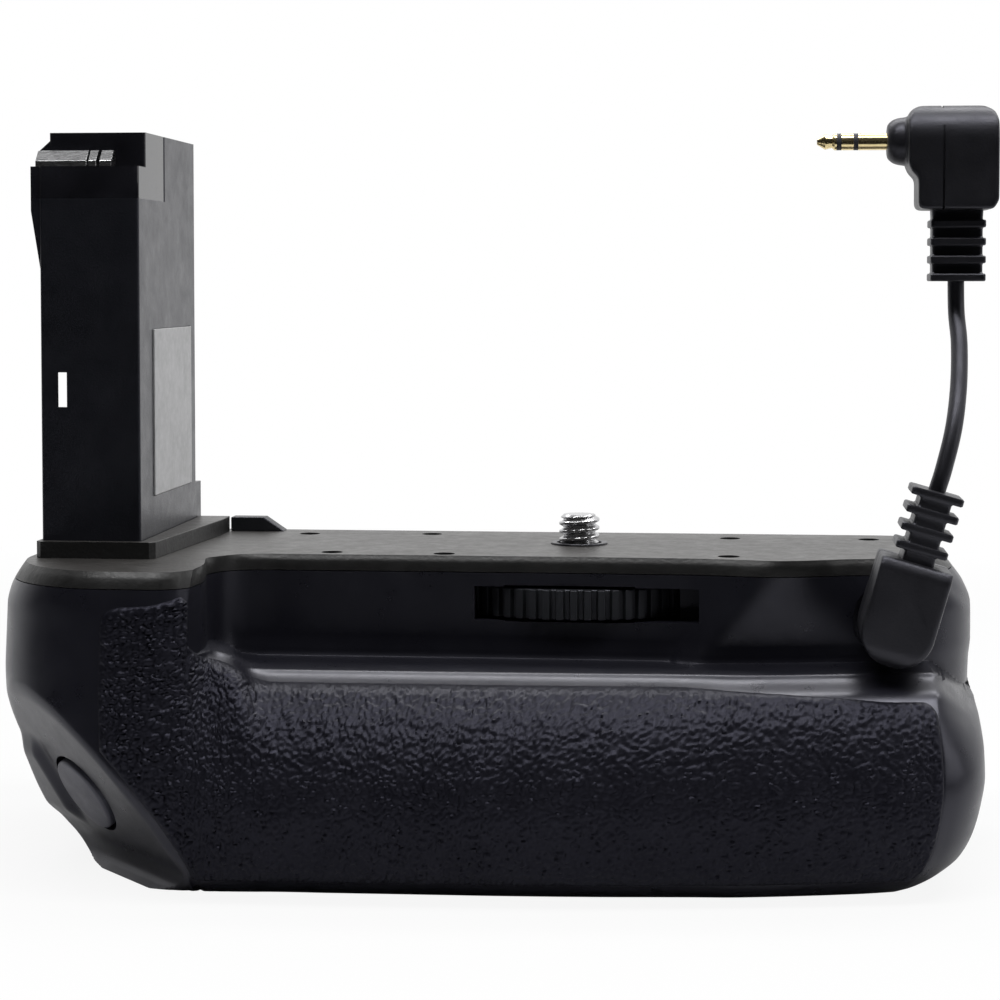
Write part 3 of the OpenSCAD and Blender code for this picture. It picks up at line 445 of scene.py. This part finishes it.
def along(line, u):
    """Points of a closed outline at column values u, on a smooth curve through its points."""
    n = len(line)
    step = np.roll(line, -1, 0) - line
    h = np.maximum(np.linalg.norm(step, axis=1), 1e-9)
    way = step / h[:, None]
    before, hb = np.roll(way, 1, 0), np.roll(h, 1)
    tan = (before * h[:, None] + way * hb[:, None]) / (h + hb)[:, None]
    tan = np.where((h > 2.2 * hb)[:, None], way, np.where((hb > 2.2 * h)[:, None], before, tan))
    u = np.asarray(u, float) % n
    k = np.floor(u).astype(int)
    t = (u - k)[:, None]
    q = (k + 1) % n
    s = h[k][:, None]
    return ((1 + 2 * t) * (1 - t) ** 2 * line[k] + t * (1 - t) ** 2 * s * tan[k]
            + t * t * (3 - 2 * t) * line[q] + t * t * (t - 1) * s * tan[q])


def ref_z(z):
    return np.where(z <= LIP_Z, z, LIP_Z + (z - LIP_Z) * (PLATE_REF - LIP_Z) / (PLATE_Z - LIP_Z))


def ease(v):
    return np.where(v <= 0, 0.0, v * v)


def skin(u, z):
    """Points of the body's surface on a grid of column values u and heights z, in mm."""
    u, z = np.asarray(u, float), np.asarray(z, float)
    a, b = along(recess_line, u), along(grip_line, u)
    r = ref_z(z)[:, None]
    low = share_low(u % COLS)[None, :]
    s = low + (share_lip(u % COLS)[None, :] - low) * np.clip((r - 8) / 10, 0, 1)
    lift = rise_at(u % COLS)[None, :] * np.clip((r - 18) / 12, 0, 1)
    k = s * grip_blend(r - LIP_Z - lift) + (1 - s) * lobe_blend(r)
    x = a[None, :, 0] + (b - a)[None, :, 0] * k
    x = x + ridge_at(u % COLS)[None, :] * (2 - 0.7 * (PLATE_Z - z))[:, None] * np.clip(1 - k, 0, 1) ** 2
    y = a[None, :, 1] + (b - a)[None, :, 1] * k
    x = x + left_in(r) * ease((-x - 30) / (HW - 30)) - right_in(r) * ease((x - 30) / (HW - 30))
    y = np.where(y > 15, 15 + (y - 15) * (1 - back_in(r) / (YB - 15)), y)
    return np.stack([x, y, np.broadcast_to(z[:, None], x.shape)], -1)


FACET_AT = Vector((-HW + 13.7, YF + 12.7, 12.8))
FACET_TURN = Matrix.Translation(FACET_AT * MM) @ Matrix.Rotation(math.radians(220.9), 4, "Z") \
    @ Matrix.Rotation(math.radians(121), 4, "Y")
FACET_N = np.array((FACET_TURN.to_3x3() @ Vector((0, 0, 1))).normalized())


def facet_height(p):
    """Signed height of points over the plane of the shutter facet."""
    return (p - np.array(FACET_AT)) @ FACET_N


RIM_H = 1.25
facet_foot = curve([(0, 2.2), (0.45, 1.6), (1.2, 0.7), (2.2, 0.1), (3.2, -0.25), (4, -0.4), (5, -0.3), (6.2, -0.1),
                    (7.5, 0), (50, 0)])


def step_up(v):
    v = np.clip(v, 0, 1)
    return v * v * (3 - 2 * v)


def with_facet(p, soft=0.8):
    """Moves points beyond the facet back onto it, with a soft crease, a raised outer rim and a rounded foot."""
    z = p[..., 2]
    side = (p[..., 0] - FACET_AT[0]) * FACET_N[1] - (p[..., 1] - FACET_AT[1]) * FACET_N[0]
    side = side / np.hypot(FACET_N[0], FACET_N[1])
    rim = step_up((side - 6.6) / 2.4) * step_up((z - 5.8) / 3.4) * step_up((21 - z) / 4)
    d = facet_height(p) - RIM_H * rim - facet_foot(z)
    low = np.minimum(d, 0) - np.maximum(soft - np.abs(d), 0) ** 2 / (4 * soft)
    flat = np.hypot(FACET_N[0], FACET_N[1])
    back = (low - d) / flat
    out = p.copy()
    out[..., 0] += FACET_N[0] / flat * back
    out[..., 1] += FACET_N[1] / flat * back
    return out


def columns(step):
    out = []
    for k in range(COLS):
        q = (k + 1) % COLS
        size = max(np.linalg.norm(recess_line[q] - recess_line[k]), np.linalg.norm(grip_line[q] - grip_line[k]))
        fine = 0.45 if k < 14 or k > COLS - 6 else 1.0
        m = max(1, int(math.ceil(size / (step * fine))))
        out += [k + j / m for j in range(m)]
    return out


def heights(stops):
    out = [stops[0][0]]
    for (a, _), (b, n) in zip(stops, stops[1:]):
        out += list(np.linspace(a, b, n + 1)[1:])
    return out


def loft(name, zs, step=1.0):
    us = columns(step)
    p = with_facet(skin(us, zs))
    return make_object(name, p.reshape(-1, 3), stack_faces(len(zs), len(us)))


# Cuts that the housings share with their CAD solids

WHEEL_Z, WHEEL_T = PLATE_Z - 9.3, 4.5
JACK = (59.2, -4.0, 37.4)
PLATE_HOLES = [(-33.4, 24), (-25.3, -3), (-13.4, 25.5), (-8, -3.5), (35.1, 23.5), (35, -3), (57.2, 24)]
BASE_HOLES = [(-40, 25), (40, 25), (-34, -19), (0, -21), (44, -19)]
CRADLE_W, CRADLE_Y0, CRADLE_Z, CRADLE_H = 105.4, -4.4, 8.8, 18.0


def room_cutters():
    z0, z1 = WHEEL_Z - 0.5, WHEEL_Z + WHEEL_T + 0.5
    cuts = [box_cutter((-CRADLE_W / 2 - 0.1, CRADLE_Y0 - 0.1, CRADLE_Z), (CRADLE_W + 0.2, 45, CRADLE_H + 0.1)),
            tube_cutter((*SCREW, z0), 22.1, z1 - z0, sides=128),
            tube_cutter((*SCREW, z0 - 1.5), 2.75, 2.2),
            tube_cutter((*SCREW, z1 - 1), 3.525, 4),
            box_cutter((-42, PART_Y - 12, LIP_Z + 0.2), (86, 24, 3.8)),
            tube_cutter((*SCREW, -1), 4.7, 8.6),
            tube_cutter(JACK, 5.8, 12, (0, -1, 0)),
            tube_cutter((JACK[0], JACK[1] + 2, JACK[2]), 3.4, 4, (0, -1, 0)),
            box_cutter((JACK[0] - 4, JACK[1] + 1, JACK[2] - 4), (8, 10.2, 8))]
    for x, y in BASE_HOLES:
        cuts.append(tube_cutter((x, y, -1), 1.8, 3, sides=40))
    return cuts


def half_cutter(front):
    gap = 0.015
    if front:
        return box_cutter((-90, PART_Y - gap, -5), (180, 60, 70))
    return box_cutter((-90, PART_Y + gap - 60, -5), (180, 60, 70))


BODY_Z = heights([(0, 0), (0.5, 4), (2.6, 8), (8.5, 16), (20, 30), (27, 22), (LIP_Z - 1, 10), (LIP_Z + 0.5, 26),
                  (LIP_Z + 4.2, 34), (SEAM_Z - 0.06, 14)])


def build_housings():
    body = loft("front_shell", BODY_Z)
    rear = body.copy()
    rear.data = body.data.copy()
    rear.name = "rear_shell"
    scene.collection.objects.link(rear)
    slot_x = SCREW[0] + 2.3 - 33.7 / 2
    carve(body, [half_cutter(True)] + room_cutters() + [
        box_cutter((slot_x, RECESS_Y - 6, WHEEL_Z - 0.3), (33.7, 11, WHEEL_T + 0.6)),
        tube_cutter((0, 0, -7.2), 6.75, 9.6, turn=FACET_TURN)])
    carve(rear, [half_cutter(False)] + room_cutters() + [
        box_cutter((-107 / 2 - 0.35, 32.3, 7.5), (107.7, 10, 20.65)),
        box_cutter((-4.6, 33.4, 27.15), (9.2, 2.3, 4.1)),
        tube_cutter((-57.5, 34.9, 10), 0.9, 115, (1, 0, 0), sides=32),
        box_cutter((-54.9, 35, 32.95), (9.8, 4, 4.7)),
        box_cutter((-54.5, 30, 33.7), (9, 6, 3.2))])
    for obj, node in ((body, "front_housing"), (rear, "rear_housing")):
        paint(clear_slivers(obj), "housing")
        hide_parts(node)
        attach(obj, "housing")


def build_plate():
    zs = heights([(SEAM_Z + 0.06, 0), (PLATE_Z - 1, 3), (PLATE_Z, 6)])
    plate = loft("plate_skin", zs)
    cuts = [tube_cutter((x, y, SEAM_Z - 1), 1.65, 5, sides=40) for x, y in PLATE_HOLES]
    cuts.append(tube_cutter((*SCREW, SEAM_Z - 1), 4.5, 5))
    carve(plate, cuts)
    paint(plate, "plate")
    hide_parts("top_plate")
    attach(plate, "housing")


# Rubber grip: the skin lifted out of the body, with a pebbled surface

def pebbles(p):
    """Height of a leathery pebble pattern, 0 to 1, at points in mm."""
    rng = np.random.default_rng(7)
    table = rng.uniform(0, 1, (4096, 4))
    x, y, z = p[..., 0], p[..., 1], p[..., 2]
    q = np.stack([x + 0.45 * np.sin(z * 1.1 + y) + 0.3 * np.sin(z * 2.6), y + 0.4 * np.sin(x * 1.3 + z),
                  z + 0.25 * np.sin(x * 1.2) + 0.2 * np.sin(x * 2.7 + y)], -1) / np.array([1.12, 1.12, 0.74])
    cell = np.floor(q).astype(int)
    best = np.full(x.shape, 9.0)
    second = np.full(x.shape, 9.0)
    tall = np.zeros(x.shape)
    for d in np.ndindex(3, 3, 3):
        c = cell + np.array(d) - 1
        row = table[(c[..., 0] * 7919 + c[..., 1] * 104729 + c[..., 2] * 1299709) % 4096]
        r = np.linalg.norm(q - c - 0.12 - 0.76 * row[..., :3], axis=-1)
        nearer = r < best
        second = np.where(nearer, best, np.minimum(second, r))
        tall = np.where(nearer, 0.6 + 0.4 * row[..., 3], tall)
        best = np.where(nearer, r, best)
    edge = np.clip((second - best) / 0.42, 0, 1)
    return tall * edge * (2 - edge)


rubber_top = curve([(0, 41.3), (8, 41.4), (9, 41.7), (10.5, 42.4), (11.3, 42.8), (11.9, 42.2), (12.4, 40.2),
                    (13, 36.0), (14, 34.0), (15, 33.4), (16, 32.9), (17, 32.0), (18, 30.2), (19, 29.65), (26, 29.6),
                    (28, 29.2), (30, 28.5), (32, 27.8), (40, 27.5)])


def build_rubber():
    step = 0.27
    us = []
    for k in range(RUB_LEFT, RUB_RIGHT):
        size = max(np.linalg.norm(recess_line[k + 1] - recess_line[k]), np.linalg.norm(grip_line[k + 1] - grip_line[k]))
        m = max(1, int(math.ceil(size / step)))
        us += [k + j / m for j in range(m)]
    us = np.array([RUB_LEFT - 0.6, RUB_LEFT - 0.3] + us + [RUB_RIGHT, RUB_RIGHT + 0.3])
    zs = np.array(heights([(1.4, 0), (LIP_Z - 2, 112), (LIP_Z + 1.2, 18), (43.4, 50)]))
    p = skin(us, zs)
    gu = np.gradient(p, axis=1)
    gz = np.gradient(p, axis=0)
    nrm = np.cross(gu, gz)
    nrm /= np.linalg.norm(nrm, axis=2)[:, :, None]
    run = np.linalg.norm(np.diff(p[len(zs) // 3], axis=0), axis=1)
    s = np.concatenate([[0], np.cumsum(run)])
    s0 = np.interp(RUB_LEFT, us, s)
    s1 = np.interp(RUB_RIGHT, us, s)
    top = rubber_top(us)
    slope = np.abs(np.gradient(top, s))
    S, Z = np.meshgrid(s, zs)
    flank = np.minimum(S - s0, s1 - S)
    level = np.minimum(Z - 2.6, (top[None, :] - Z) / np.sqrt(1 + slope ** 2)[None, :])
    corner = 2.2
    d = np.minimum(flank, level)
    d = np.where((flank < corner) & (level < corner), corner - np.hypot(corner - flank, corner - level), d)
    d = np.minimum(d, -facet_height(p) - 0.9)
    rise = np.clip((d + 0.5) / 0.9, 0, 1)
    rise = rise * rise * (3 - 2 * rise)
    lift = -0.5 + 0.68 * rise + (0.40 + 0.14 * np.clip((14 - us) / 2, 0, 1)) * pebbles(p) * np.clip(d / 0.8, 0, 1)
    outer = p + nrm * lift[:, :, None]
    inner = p - nrm * 0.9
    rows, n = d.shape
    near = np.maximum.reduce([d[:-1, :-1], d[1:, :-1], d[:-1, 1:], d[1:, 1:]])
    keep = near > -0.6
    verts = np.concatenate([outer.reshape(-1, 3), inner.reshape(-1, 3)])
    off = rows * n
    faces = []
    for r, i in np.argwhere(keep):
        a, b, c, e = r * n + i, r * n + i + 1, (r + 1) * n + i + 1, (r + 1) * n + i
        faces.append((a, b, c, e))
        faces.append((off + a, off + e, off + c, off + b))
        if r == 0 or not keep[r - 1, i]:
            faces.append((b, a, off + a, off + b))
        if r == rows - 2 or not keep[r + 1, i]:
            faces.append((e, c, off + c, off + e))
        if i == 0 or not keep[r, i - 1]:
            faces.append((a, e, off + e, off + a))
        if i == n - 2 or not keep[r, i + 1]:
            faces.append((c, b, off + b, off + c))
    used = np.unique(np.array(faces))
    index = np.full(2 * off, -1)
    index[used] = np.arange(len(used))
    obj = make_object("rubber_skin", verts[used], [tuple(index[list(f)].tolist()) for f in faces])
    smooth(obj, 60)
    paint(obj, "grip_rubber")
    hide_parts("grip_rubber")
    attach(obj, "housing")


# Turned pieces

def lathe(name, line, turn, sides=96, angle=34):
    """Solid of revolution about the local Z axis, from a list of radius and height, in mm."""
    verts = []
    for r, z in line:
        for k in range(sides):
            a = 2 * math.pi * k / sides
            verts.append((r * math.cos(a), r * math.sin(a), z))
    obj = make_object(name, verts, stack_faces(len(line), sides))
    obj.data.transform(turn)
    return smooth(obj, angle)


def build_button():
    line = [(1.6, -3.4), (1.6, -2.6), (6.0, -2.6), (6.0, 0.2)]
    line += [(5.3 + 0.7 * math.cos(a), 0.2 + 0.45 * math.sin(a)) for a in np.linspace(0.2, math.pi / 2, 6)]
    line += [(r, 0.65 + 0.2 * (1 - (r / 5.3) ** 2)) for r in (4.6, 3.6, 2.4, 1.2, 0.2)]
    obj = lathe("button_cap", line, FACET_TURN)
    paint(obj, "button")
    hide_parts("shutter_button")
    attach(obj, "button")


def build_screw():
    sides, pitch = 72, 1.27
    z0, z1 = PLATE_Z + 0.3, PLATE_Z + 4.7
    zs = np.linspace(z0, z1, int((z1 - z0) / pitch * 16))
    rings = [(2.4, WHEEL_Z - 1.7), (2.4, WHEEL_Z + WHEEL_T), (2.975, WHEEL_Z + WHEEL_T), (2.975, z0 - 0.02)]
    verts = [(r * math.cos(2 * math.pi * k / sides), r * math.sin(2 * math.pi * k / sides), z)
             for r, z in rings for k in range(sides)]
    for z in zs:
        for k in range(sides):
            t = (z / pitch - k / sides) % 1.0
            ridge = min(1.0, max(0.0, 1.6 * (1 - abs(2 * t - 1)) - 0.2))
            cap = min(3.175, 2.45 + (z1 - z) * 1.1)
            r = min(cap, 2.5 + 0.675 * ridge)
            a = 2 * math.pi * k / sides
            verts.append((r * math.cos(a), r * math.sin(a), z))
    obj = make_object("screw_thread", verts, stack_faces(len(verts) // sides, sides))
    obj.data.transform(Matrix.Translation((SCREW[0] * MM, SCREW[1] * MM, 0)))
    smooth(obj, 40)
    paint(obj, "steel")
    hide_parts("tripod_screw")
    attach(obj, "wheel")


# Plugs of the patch cord: rounded mouldings with a parting line, and ribbed strain reliefs

PLUG_TILT = math.radians(15.8)
UPPER_PLUG = (58.1, 0, 108.4)
CABLE_OUT, CABLE_UP = 10.4, 20.8
CORD_D = 0.0025
AT_LOWER = Matrix.Translation(Vector(JACK) * MM) @ Matrix.Rotation(PLUG_TILT, 4, "Y")
AT_UPPER = Matrix.Translation(Vector(UPPER_PLUG) * MM) @ Matrix.Rotation(math.radians(-90), 4, "Z") \
    @ Matrix.Rotation(math.pi, 4, "X")


def build_plug(name, node, turn):
    """Plug body: the CAD solid with its edges rounded off, and a groove round its middle."""
    obj = nodes[node].copy()
    obj.data = nodes[node].data.copy()
    obj.name = name
    obj.hide_render = False
    scene.collection.objects.link(obj)
    m = obj.modifiers.new("join", "WELD")
    m.merge_threshold = 0.00001
    m = obj.modifiers.new("cells", "REMESH")
    m.mode = "VOXEL"
    m.voxel_size = 0.00017
    m = obj.modifiers.new("round", "SMOOTH")
    m.factor = 0.5
    m.iterations = 60
    settle(obj, 60)
    groove = box_cutter((-8, -8.25, -8), (16, 0.3, 22), turn)
    carve(groove, [box_cutter((-4.85, -9, -4.85), (9.7, 2, 14.5), turn)])
    carve(obj, [groove])
    smooth(obj, 40)
    paint(obj, SLOT_OF[node])
    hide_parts(node)
    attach(obj, "patch_cord")
    return obj


def build_relief(name, node, turn):
    """Strain relief: a stack of rounded rectangles, with ribs that stand out all round."""
    pitch, rib = 2.65, 1.15
    stack = [(-0.3, 2.4, 3.8, 0.6)]
    for k in range(4):
        z = k * pitch + pitch - rib
        stack += [(z - 0.22, 2.3, 3.72, 0.6), (z, 2.5, 3.8, 0.6), (z + 0.02, 3.62, 3.95, 0.45),
                  (z + 0.2, 3.8, 4.05, 0.5), (z + rib - 0.2, 3.8, 4.05, 0.5), (z + rib - 0.02, 3.62, 3.95, 0.45)]
        if k < 3:
            stack += [(z + rib, 2.5, 3.8, 0.6), (z + rib + 0.22, 2.3, 3.72, 0.6)]
    stack.append((4 * pitch, 3.4, 3.8, 0.45))
    verts = []
    for z, hx, hy, r in stack:
        for k in range(4):
            cx, cy = ((hx - r, hy - r), (r - hx, hy - r), (r - hx, r - hy), (hx - r, r - hy))[k]
            for j in range(7):
                a = math.pi / 2 * (k + j / 6)
                verts.append((cx + r * math.cos(a), cy + r * math.sin(a) - CABLE_OUT, 10.2 + z))
    obj = make_object(name, verts, stack_faces(len(stack), len(verts) // len(stack)))
    obj.data.transform(turn)
    smooth(obj, 40)
    paint(obj, SLOT_OF[node])
    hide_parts(node)
    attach(obj, "patch_cord")
    return obj


# Patch cord

def cord_route():
    """Points of the cord in mm, on a smooth curve from the lower strain relief to the upper one."""
    start = Vector(JACK) + Vector((0, -CABLE_OUT, 0))
    lean = Vector((math.sin(PLUG_TILT), 0, math.cos(PLUG_TILT)))
    start = start + lean * CABLE_UP
    end = Vector(UPPER_PLUG) + Vector((CABLE_OUT, 0, -CABLE_UP))
    bends = [(1, 0.2, 3.3), (2.5, 2.2, 9), (3.5, 6.4, 15), (3.9, 10.8, 21), (3.7, 13.7, 25.4)]
    route = [start] + [start + Vector(b) for b in bends] + [end]
    last = len(route) - 1

    def way(k):
        if k == 0:
            return lean * 3.4
        if k == last:
            return Vector((0, 0, 3))
        return (route[k + 1] - route[k - 1]) / 2

    pts = []
    for k in range(last):
        for j in range(6):
            t = j / 6
            a, b = t * t, t * t * t
            pts.append(route[k] * (2 * b - 3 * a + 1) + way(k) * (b - 2 * a + t)
                       + route[k + 1] * (3 * a - 2 * b) + way(k + 1) * (b - a))
    return pts + [end]


def build_cord():
    shaped = [build_plug("lower_plug_skin", "lower_plug_body", AT_LOWER),
              build_plug("upper_plug_skin", "upper_plug_body", AT_UPPER),
              build_relief("lower_relief_skin", "lower_relief", AT_LOWER),
              build_relief("upper_relief_skin", "upper_relief", AT_UPPER)]
    pts = [p * MM for p in cord_route()]
    data = bpy.data.curves.new("cord_tube", "CURVE")
    data.dimensions = "3D"
    data.bevel_depth = CORD_D / 2
    data.bevel_resolution = 6
    data.use_fill_caps = True
    spline = data.splines.new("POLY")
    spline.points.add(len(pts) - 1)
    for q, p in zip(spline.points, pts):
        q.co = (*p, 1)
    spline.use_smooth = True
    obj = bpy.data.objects.new("cord_tube", data)
    scene.collection.objects.link(obj)
    data.materials.append(MATS["cable"])
    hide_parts("cord")
    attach(obj, "patch_cord")


build_cord()
build_housings()
build_plate()
build_rubber()
build_button()
build_screw()

SOFT_EDGES = {
    "thumbwheel": 0.18, "column_shell": 0.35, "contact_block": 0.22, "column_cap": 0.35, "column_collar": 0.7,
    "rear_tab": 0.2, "column_label": 0.12, "battery_door": 0.35, "door_latch": 0.25, "power_switch_knob": 0.3,
    "battery_cradle": 0.2, "main_board": 0.1, "screw_bushing": 0.12, "tripod_socket": 0.15, "jack_socket": 0.15,
    "column_contacts": 0.08, "bay_contacts": 0.08, "shutter_switch": 0.15, "power_switch_body": 0.15,
}
for name, node in nodes.items():
    if node.hide_render:
        continue
    paint(node, SLOT_OF[name])
    if name in SOFT_EDGES:
        soften(node, SOFT_EDGES[name])


# Stage and light

def build_stage():
    """Pale floor that goes over into the white background with distance and keeps the shadow near the part."""
    half_x, half_y, centre_y, low = 0.55, 0.30, 0.16, -0.0004
    turns = np.linspace(0, 2 * math.pi, 97)[:-1]
    ring = [(half_x * math.cos(a), centre_y + half_y * math.sin(a), low) for a in turns]
    mesh = bpy.data.meshes.new("floor")
    mesh.from_pydata(ring, [], [tuple(range(len(ring)))])
    floor = bpy.data.objects.new("floor", mesh)
    scene.collection.objects.link(floor)
    mat = bpy.data.materials.new("pale_floor")
    mat.use_nodes = True
    t = mat.node_tree
    t.nodes.clear()
    out = t.nodes.new("ShaderNodeOutputMaterial")
    mix = t.nodes.new("ShaderNodeMixShader")
    dif = t.nodes.new("ShaderNodeBsdfDiffuse")
    emi = t.nodes.new("ShaderNodeEmission")
    path = t.nodes.new("ShaderNodeLightPath")
    coords = t.nodes.new("ShaderNodeTexCoord")
    far = t.nodes.new("ShaderNodeVectorMath")
    far.operation = "LENGTH"
    fade = t.nodes.new("ShaderNodeMapRange")
    fade.inputs["From Min"].default_value = 0.35
    fade.inputs["From Max"].default_value = 0.92
    fade.inputs["To Min"].default_value = 0.82
    fade.inputs["To Max"].default_value = 1.0
    place = t.nodes.new("ShaderNodeMapping")
    place.inputs["Location"].default_value = (0, -centre_y / half_y, 0)
    place.inputs["Scale"].default_value = (1 / half_x, 1 / half_y, 0)
    both = t.nodes.new("ShaderNodeMath")
    both.operation = "MULTIPLY"
    dif.inputs["Color"].default_value = (0.62, 0.62, 0.62, 1)
    emi.inputs["Color"].default_value = (1, 1, 1, 1)
    emi.inputs["Strength"].default_value = 1.0
    t.links.new(coords.outputs["Object"], place.inputs["Vector"])
    t.links.new(place.outputs["Vector"], far.inputs[0])
    t.links.new(far.outputs["Value"], fade.inputs["Value"])
    t.links.new(path.outputs["Is Camera Ray"], both.inputs[0])
    t.links.new(fade.outputs["Result"], both.inputs[1])
    t.links.new(both.outputs[0], mix.inputs["Fac"])
    t.links.new(dif.outputs["BSDF"], mix.inputs[1])
    t.links.new(emi.outputs["Emission"], mix.inputs[2])
    t.links.new(mix.outputs["Shader"], out.inputs["Surface"])
    mesh.materials.append(mat)


def area_light(name, place, target, size, power):
    data = bpy.data.lights.new(name, "AREA")
    data.shape = "RECTANGLE"
    data.size, data.size_y = size
    data.energy = power
    obj = bpy.data.objects.new(name, data)
    scene.collection.objects.link(obj)
    obj.location = place
    obj.rotation_euler = (Vector(target) - Vector(place)).to_track_quat("-Z", "Y").to_euler()
    return obj


def build_world():
    world = bpy.data.worlds.new("studio")
    scene.world = world
    world.use_nodes = True
    t = world.node_tree
    t.nodes.clear()
    out = t.nodes.new("ShaderNodeOutputWorld")
    coords = t.nodes.new("ShaderNodeTexCoord")
    split = t.nodes.new("ShaderNodeSeparateXYZ")
    ramp = t.nodes.new("ShaderNodeMapRange")
    ramp.inputs["From Min"].default_value = -0.10
    ramp.inputs["From Max"].default_value = 0.60
    ramp.inputs["To Min"].default_value = 0.015
    ramp.inputs["To Max"].default_value = 0.95
    ramp.interpolation_type = "SMOOTHSTEP"
    room = t.nodes.new("ShaderNodeBackground")
    white = t.nodes.new("ShaderNodeBackground")
    white.inputs["Strength"].default_value = 1.0
    path = t.nodes.new("ShaderNodeLightPath")
    mix = t.nodes.new("ShaderNodeMixShader")
    t.links.new(coords.outputs["Generated"], split.inputs["Vector"])
    t.links.new(split.outputs["Y"], ramp.inputs["Value"])
    t.links.new(ramp.outputs["Result"], room.inputs["Strength"])
    white.inputs["Color"].default_value = (1, 1, 1, 1)
    room.inputs["Color"].default_value = (1, 1, 1, 1)
    t.links.new(path.outputs["Is Camera Ray"], mix.inputs["Fac"])
    t.links.new(room.outputs["Background"], mix.inputs[1])
    t.links.new(white.outputs["Background"], mix.inputs[2])
    t.links.new(mix.outputs["Shader"], out.inputs["Surface"])


build_stage()
build_world()
area_light("top_strip", (0.06, -0.20, 0.75), (0, 0, 0.03), (0.9, 0.16), 5.6)
area_light("back_strip", (0.04, 0.36, 0.66), (0, -0.03, 0.03), (1.1, 0.16), 4.0)
area_light("right_softbox", (0.7, -0.15, 0.35), (0.05, 0, 0.04), (0.25, 0.5), 0.8)
area_light("front_fill", (-0.25, -0.9, 0.5), (0, 0, 0.03), (0.6, 0.4), 0.08)
